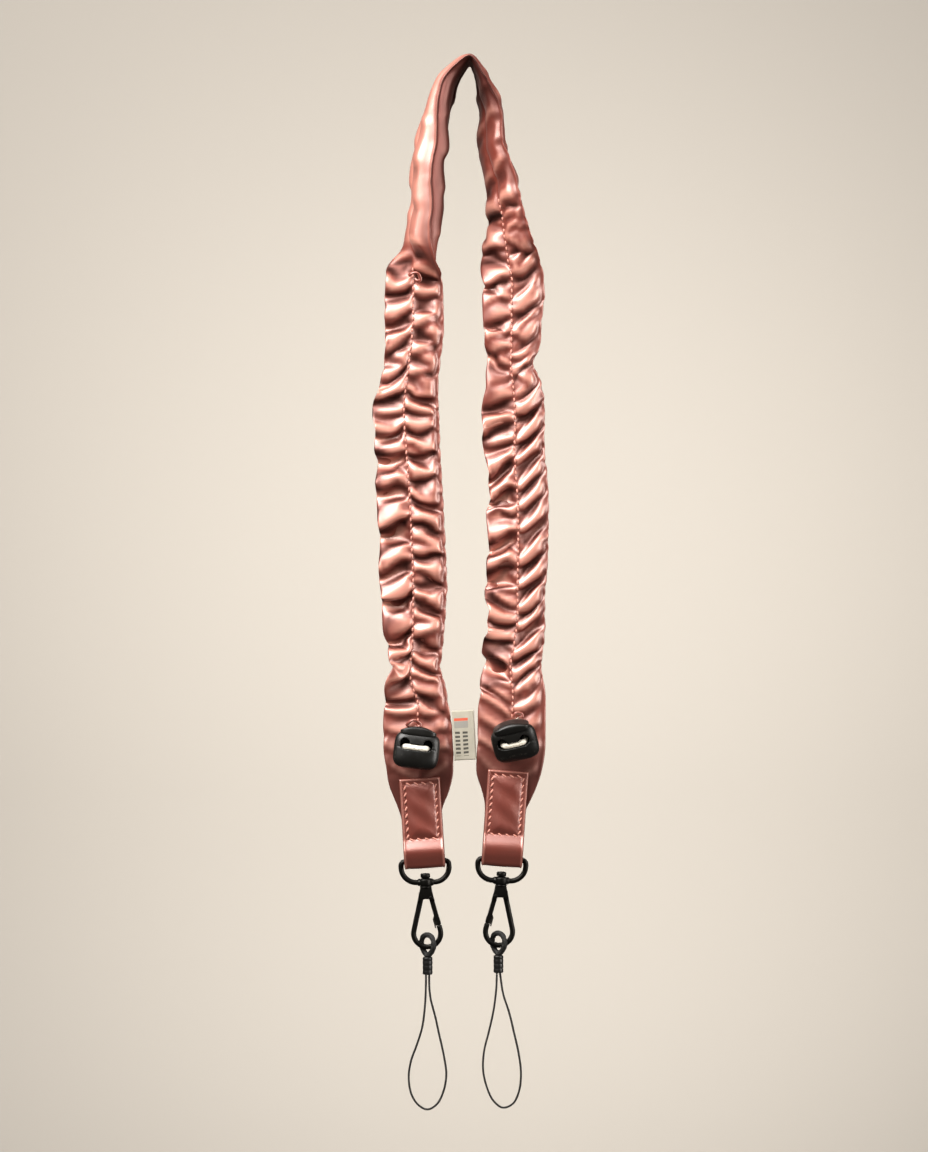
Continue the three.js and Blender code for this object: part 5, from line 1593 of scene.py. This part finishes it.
def ringLine():
    bar, drop = hardware["barHalf"], hardware["ringDrop"]
    upper, lower = hardware["upperBend"], hardware["lowerBend"]
    wide = bar + upper
    points = [(-bar, 0, 0), (0, 0, 0)]
    points += arcPoints((bar, -upper), upper, 90, 0, 10)
    points += arcPoints((wide - lower, lower - drop), lower, 0, -90, 22)
    points += arcPoints((lower - wide, lower - drop), lower, -90, -180, 22)
    points += arcPoints((-bar, -upper), upper, 180, 92, 10)
    return evenLine(points, 200, closed=True)


def bossProfile(radius, height, ease, waist=0.0):
    half = height / 2
    return [(0.05, -half), (radius - ease, -half), (radius - ease * 0.3, -half + ease * 0.3), (radius, -half + ease),
            (radius - waist, 0), (radius, half - ease), (radius - ease * 0.3, half - ease * 0.3), (radius - ease, half),
            (0.05, half)]


def addBevel(piece, width, segments):
    bevel = piece.modifiers.new("eased", "BEVEL")
    bevel.width = width * mm
    bevel.segments = segments
    bevel.limit_method = "ANGLE"
    bevel.angle_limit = math.radians(hardware["easeAngle"])
    applyModifiers(piece)


def makeRing(side):
    tube = sweepTube(ringLine(), hardware["wire"], 20, closed=True)
    drop = Matrix.Translation((0, 0, -hardware["ringDrop"]))
    boss = moveForm(turnedForm(bossProfile(hardware["bossRadius"], hardware["bossHeight"], 0.7, 0.12), 40), drop)
    weld = moveForm(turnedForm(hardware["weld"], 28), drop @ Matrix.Rotation(math.pi / 2, 4, "Y"))
    hangForm(f"swivelRing_{side}", gather([tube, boss, weld]), blackMetal, ringFrame(side),
             f"ring_{side}", "black_metal", f"swivel_ring_{side}")


# snap hook: neck with its rivet, and one wire down the fixed arm and round to the nose
def armLean():
    fall = hardware["bowDrop"] - hardware["armStart"]
    spread, radius = hardware["armSpread"], hardware["bowRadius"]
    reach = math.hypot(spread, fall)
    lean = math.asin(radius / reach) - math.atan2(spread, fall)
    return lean, math.sqrt(reach**2 - radius**2)


def wireProfile(total, radius):
    # the wire thickens a little at the neck and is rounded off at the nose
    def size(distance, angle):
        return radius * roundOff(total - distance, 0.7, 0.03) * (1 + 0.12 * math.exp(-distance / 3.0))
    return size


def outlineSlab(outline, deep):
    # an outline of (x, z), drawn counterclockwise, with thickness along y
    count = len(outline)
    points = [(x, y, z) for y in (-deep / 2, deep / 2) for x, z in outline]
    faces = [tuple(range(count)), tuple(range(2 * count - 1, count - 1, -1))]
    faces += [(k, k + count, (k + 1) % count + count, (k + 1) % count) for k in range(count)]
    return points, faces


def makeHook(side):
    gateSide = places[side]["gateSide"]
    lean, length = armLean()
    spread, start, bow, bowDrop = (hardware[k] for k in ("armSpread", "armStart", "bowRadius", "bowDrop"))
    deg = math.degrees(lean)
    neckTop = (-spread + 0.5, 0, -start + 2.4)
    points = [neckTop, (-spread, 0, -start), (-spread - length * math.sin(lean), 0, -start - length * math.cos(lean))]
    points += arcPoints((0, -bowDrop), bow, 180 - deg, 360 + deg, 44)
    rest = (bowDrop - hardware["noseDrop"]) / math.cos(lean) - bow * math.tan(lean) + hardware["noseReach"]
    endX, endZ = points[-1][0], points[-1][2]
    points.append((endX - rest * math.sin(lean), 0, endZ + rest * math.cos(lean)))
    line = evenLine(points, 130)
    total = float(np.linalg.norm(np.diff(line, axis=0), axis=1).sum())
    wire = sweepTube(line, wireProfile(total, hardware["wire"]), 20)

    top, foot, high = hardware["neckTop"] / 2, hardware["neckFoot"] / 2 + 0.3, hardware["neckHeight"]
    arch = [(foot * math.cos(a), -high + 1.5 * math.sin(a)) for a in np.linspace(math.pi, 0, 9)]
    flank = [(top - 0.6, 0), (top, -0.6), (top + 0.5, -high * 0.5)]
    outline = [(-x, z) for x, z in flank] + arch + flank[::-1]
    neck = formPiece(f"snapHook_{side}", outlineSlab(outline, hardware["neckDeep"]), blackMetal)
    addBevel(neck, hardware["neckEase"], 4)

    head, stemRadius = hardware["headHeight"], hardware["stemRadius"]
    headFoot = hardware["bossHeight"] + 2 * hardware["play"]
    stem = turnedForm([(0.05, -0.6), (stemRadius, -0.6), (stemRadius, headFoot + 0.3), (0.05, headFoot + 0.3)], 24)
    collar = moveForm(turnedForm(bossProfile(hardware["collarRadius"], 0.9, 0.3), 36), Matrix.Translation((0, 0, -0.1)))
    cap = moveForm(turnedForm(bossProfile(hardware["headRadius"], head, 0.5), 36),
                   Matrix.Translation((0, 0, headFoot + head / 2)))
    pinTurn = Matrix.Translation((spread, 0, -start)) @ Matrix.Rotation(math.pi / 2, 4, "X")
    pin = moveForm(turnedForm(bossProfile(hardware["pinRadius"] + 0.25, hardware["neckDeep"] + 0.35, 0.2), 20), pinTurn)
    fittings = formPiece("hookWire", gather([wire, stem, collar, cap, pin]), blackMetal)
    joinInto(neck, fittings)
    if gateSide < 0:
        turnMesh(neck, Matrix.Rotation(math.pi, 4, "Z"))
    turnMesh(neck, hookFrame(side))
    hangOn(neck, f"hook_{side}", "black_metal", f"snap_hook_{side}")


def joinInto(piece, other):
    work = bmesh.new()
    work.from_mesh(piece.data)
    work.from_mesh(other.data)
    work.to_mesh(piece.data)
    work.free()
    piece.data.polygons.foreach_set("use_smooth", [True] * len(piece.data.polygons))
    bpy.data.objects.remove(other)


def makeGate(side):
    gateSide = places[side]["gateSide"]
    lean, _ = armLean()
    half, wire = hardware["gateHalf"], hardware["wire"]
    tip = (hardware["noseDrop"] - hardware["armStart"]) / math.cos(lean) - hardware["play"] - wire * 0.2
    lip = wire + hardware["play"]
    outline = [(half * math.cos(a), half * math.sin(a)) for a in np.linspace(0, math.pi, 9)]
    outline += [(-half, -tip + 4.2), (-lip - 0.5, -tip + 2.9), (-lip - 0.6, -tip - 1.5), (-lip, -tip - 1.5),
                (-lip, -tip - 0.4), (half + 0.1, -tip - 0.4), (half + 0.1, -tip + 2.4), (half, -tip + 3.4)]
    bar = formPiece(f"hookGate_{side}", outlineSlab(outline, hardware["gateDeep"]), blackMetal)
    addBevel(bar, hardware["gateEase"], 3)
    turnMesh(bar, Matrix.Rotation(-lean, 4, "Y"))
    turnMesh(bar, Matrix.Translation((hardware["armSpread"] * mm, 0, -hardware["armStart"] * mm)))
    if gateSide < 0:
        turnMesh(bar, Matrix.Rotation(math.pi, 4, "Z"))
    turnMesh(bar, hookFrame(side))
    hangOn(bar, f"gate_{side}", "black_metal", f"hook_gate_{side}")


for side in sides:
    makeRing(side)
    makeHook(side)
    makeGate(side)
print("rings, hooks and gates cast")


# lanyard: braided eye through the hook's bow, crimped in a ferrule
lanyard = {
    "cord": 1.25,           # radius
    "half": 4.15,           # the eye's half width, top and foot
    "rise": 5.7,
    "foot": -4.1,
    "turn": 45,
    "strands": 4,
    "lay": 5.0,             # millimetres in which a strand goes once round
    "depth": 0.1,
    "ferruleRadius": 2.35,
    "ferruleHeight": 8.3,
    "ferruleMiddle": -8.95,
    "crimps": (-2.0, 0.3, 2.4),
    "crimpDeep": 0.11,
    "crimpWide": 0.42,
}


def makeEye(side):
    half, rise, foot, cord = lanyard["half"], lanyard["rise"], lanyard["foot"], lanyard["cord"]
    route = [(0, rise), (half * 0.72, rise - 1.1), (half, rise - 4), (half * 0.88, rise - 6.6),
             (cord + 0.4, foot + 1), (0, foot)]
    route += [(-w, z) for w, z in route[1:-1][::-1]]
    turn = math.radians(lanyard["turn"])
    points = [(w * math.cos(turn), -w * math.sin(turn), z) for w, z in route]
    line = smoothLine(points, 150, closed=True)
    total = float(np.linalg.norm(np.diff(line, axis=0), axis=1).sum())
    lay = total / round(total / lanyard["lay"])
    form = sweepTube(line, braided(cord, lanyard["strands"], lay, lanyard["depth"]), 36, closed=True)
    hangForm(f"lanyardEye_{side}", form, blackCord, lanyardFrame(side),
             f"hook_{side}", "black_cord", f"lanyard_eye_{side}")


def makeFerrule(side):
    radius, half = lanyard["ferruleRadius"], lanyard["ferruleHeight"] / 2
    profile = [(0.05, -half)]
    for z in np.linspace(-half, half, 46):
        dips = sum(math.exp(-(((z - at) / lanyard["crimpWide"]) ** 2)) for at in lanyard["crimps"])
        profile.append((radius - 0.5 + 0.5 * roundOff(half - abs(z), 0.55) - lanyard["crimpDeep"] * dips, z))
    profile.append((0.05, half))
    form = turnedForm(profile, 36)
    place = lanyardFrame(side) @ Matrix.Translation((0, 0, lanyard["ferruleMiddle"] * mm))
    hangForm(f"ferrule_{side}", form, blackPlastic, place, f"hook_{side}", "black_plastic", f"ferrule_{side}")


for side in sides:
    makeEye(side)
    makeFerrule(side)
    blackPieces[f"phoneLoop_{side}"].data.materials.append(blackCord)
print("lanyards crimped")


# side label: a folded woven tape caught in the left leg's inner edge
label = {
    "width": 10.4,
    "height": 23.6,
    "middle": (-2.9, 0, -322.7),
    "lean": -3.2,
    "deep": 0.34,
    "gap": 0.5,
    "curl": 0.55,
    "rows": 40,
    # bands across the tape, from its top down: from, to, in millimetres
    "redBand": (3.6, 4.9),
    "greyBand": (5.1, 8.3),
    "bars": (9.6, 21.6),
    "printed": (0.8, 7.4),      # from the free edge
    "barColumns": ((1.0, 3.3), (4.6, 7.0)),
}


def labelFinish():
    values = finishes["label"]
    material, tree, shader, mottle = newFinish("wovenLabel", values)
    cloth = addNode(tree, "ShaderNodeUVMap", {"uv_map": "cloth"})
    split = addNode(tree, "ShaderNodeSeparateXYZ")
    tree.links.new(cloth.outputs["UV"], split.inputs["Vector"])
    across, down = split.outputs["X"], split.outputs["Y"]

    def between(value, low, high):
        over = mathNode(tree, "GREATER_THAN", value, low)
        under = mathNode(tree, "LESS_THAN", value, high)
        return mathNode(tree, "MULTIPLY", over, under)

    inner = between(across, *label["printed"])
    red = mathNode(tree, "MULTIPLY", between(down, *label["redBand"]), inner)
    grey = mathNode(tree, "MULTIPLY", between(down, *label["greyBand"]), inner)
    # two columns of plain woven bars, with nothing to read in them
    beat = addNode(tree, "ShaderNodeTexWave", {"bands_direction": "Y"},
                   {"Scale": 0.165, "Distortion": 1.2, "Detail": 1.0})
    tree.links.new(cloth.outputs["UV"], beat.inputs["Vector"])
    bars = mathNode(tree, "GREATER_THAN", beat.outputs["Fac"], 0.42)
    columns = mathNode(tree, "ADD", *(between(across, *column) for column in label["barColumns"]))
    ink = mathNode(tree, "MULTIPLY", mathNode(tree, "MULTIPLY", bars, columns), between(down, *label["bars"]))
    color = mixColor(tree, red, mottle.outputs["Color"], values["red"])
    color = mixColor(tree, mathNode(tree, "MULTIPLY", grey, values["greyShow"]), color, values["grey"])
    color = mixColor(tree, mathNode(tree, "MULTIPLY", ink, values["inkShow"]), color, values["ink"])
    tree.links.new(color, shader.inputs["Base Color"])
    addWeave(tree, shader, values)
    return material


def makeLabel():
    # one strip: out along the front, round the fold, and back along the rear
    width, height, gap, deep, rows = (label[k] for k in ("width", "height", "gap", "deep", "rows"))
    run = [(x, -gap) for x in np.linspace(-width / 2, width / 2 - gap, 22)]
    bend = np.linspace(-math.pi / 2, math.pi / 2, 9)[1:-1]
    run += [(width / 2 - gap + gap * math.cos(a), gap * math.sin(a)) for a in bend]
    run += [(x, gap) for x in np.linspace(width / 2 - gap, -width / 2, 22)]
    run = np.array(run)
    way = np.gradient(run, axis=0)
    way /= np.linalg.norm(way, axis=1)[:, None]
    gone = lengthAlong(run)
    points, cloth = [], []
    for row in range(rows + 1):
        down = row / rows
        z = height * (0.5 - down)
        swell = label["curl"] * math.sin(math.pi * down) - label["curl"] / 2
        for face in (1, -1):
            for (x, y), (wx, wy), s in zip(run[::face], way[::face], gone[::face]):
                bow = swell * ((x + width / 2) / width) ** 2
                points.append((x + wy * deep / 2 * face, y + bow - wx * deep / 2 * face, z))
                cloth.append((min(s, 2 * width - s), height * down))
    faces = gridFaces(rows + 1, 2 * len(run), capped=True)
    piece = makeMesh("sideLabel", [Vector(p) * mm for p in points], faces, labelFinish())
    writeCloth(piece.data, cloth)
    outwardNormals(piece)
    turnMesh(piece, matrixAt(label["middle"], roll=label["lean"]))
    hangOn(piece, "strap", "label", "side_label")


makeLabel()
print("label sewn in")


# bring the scene up to date
def sizeReport():
    bpy.context.view_layer.update()


sizeReport()
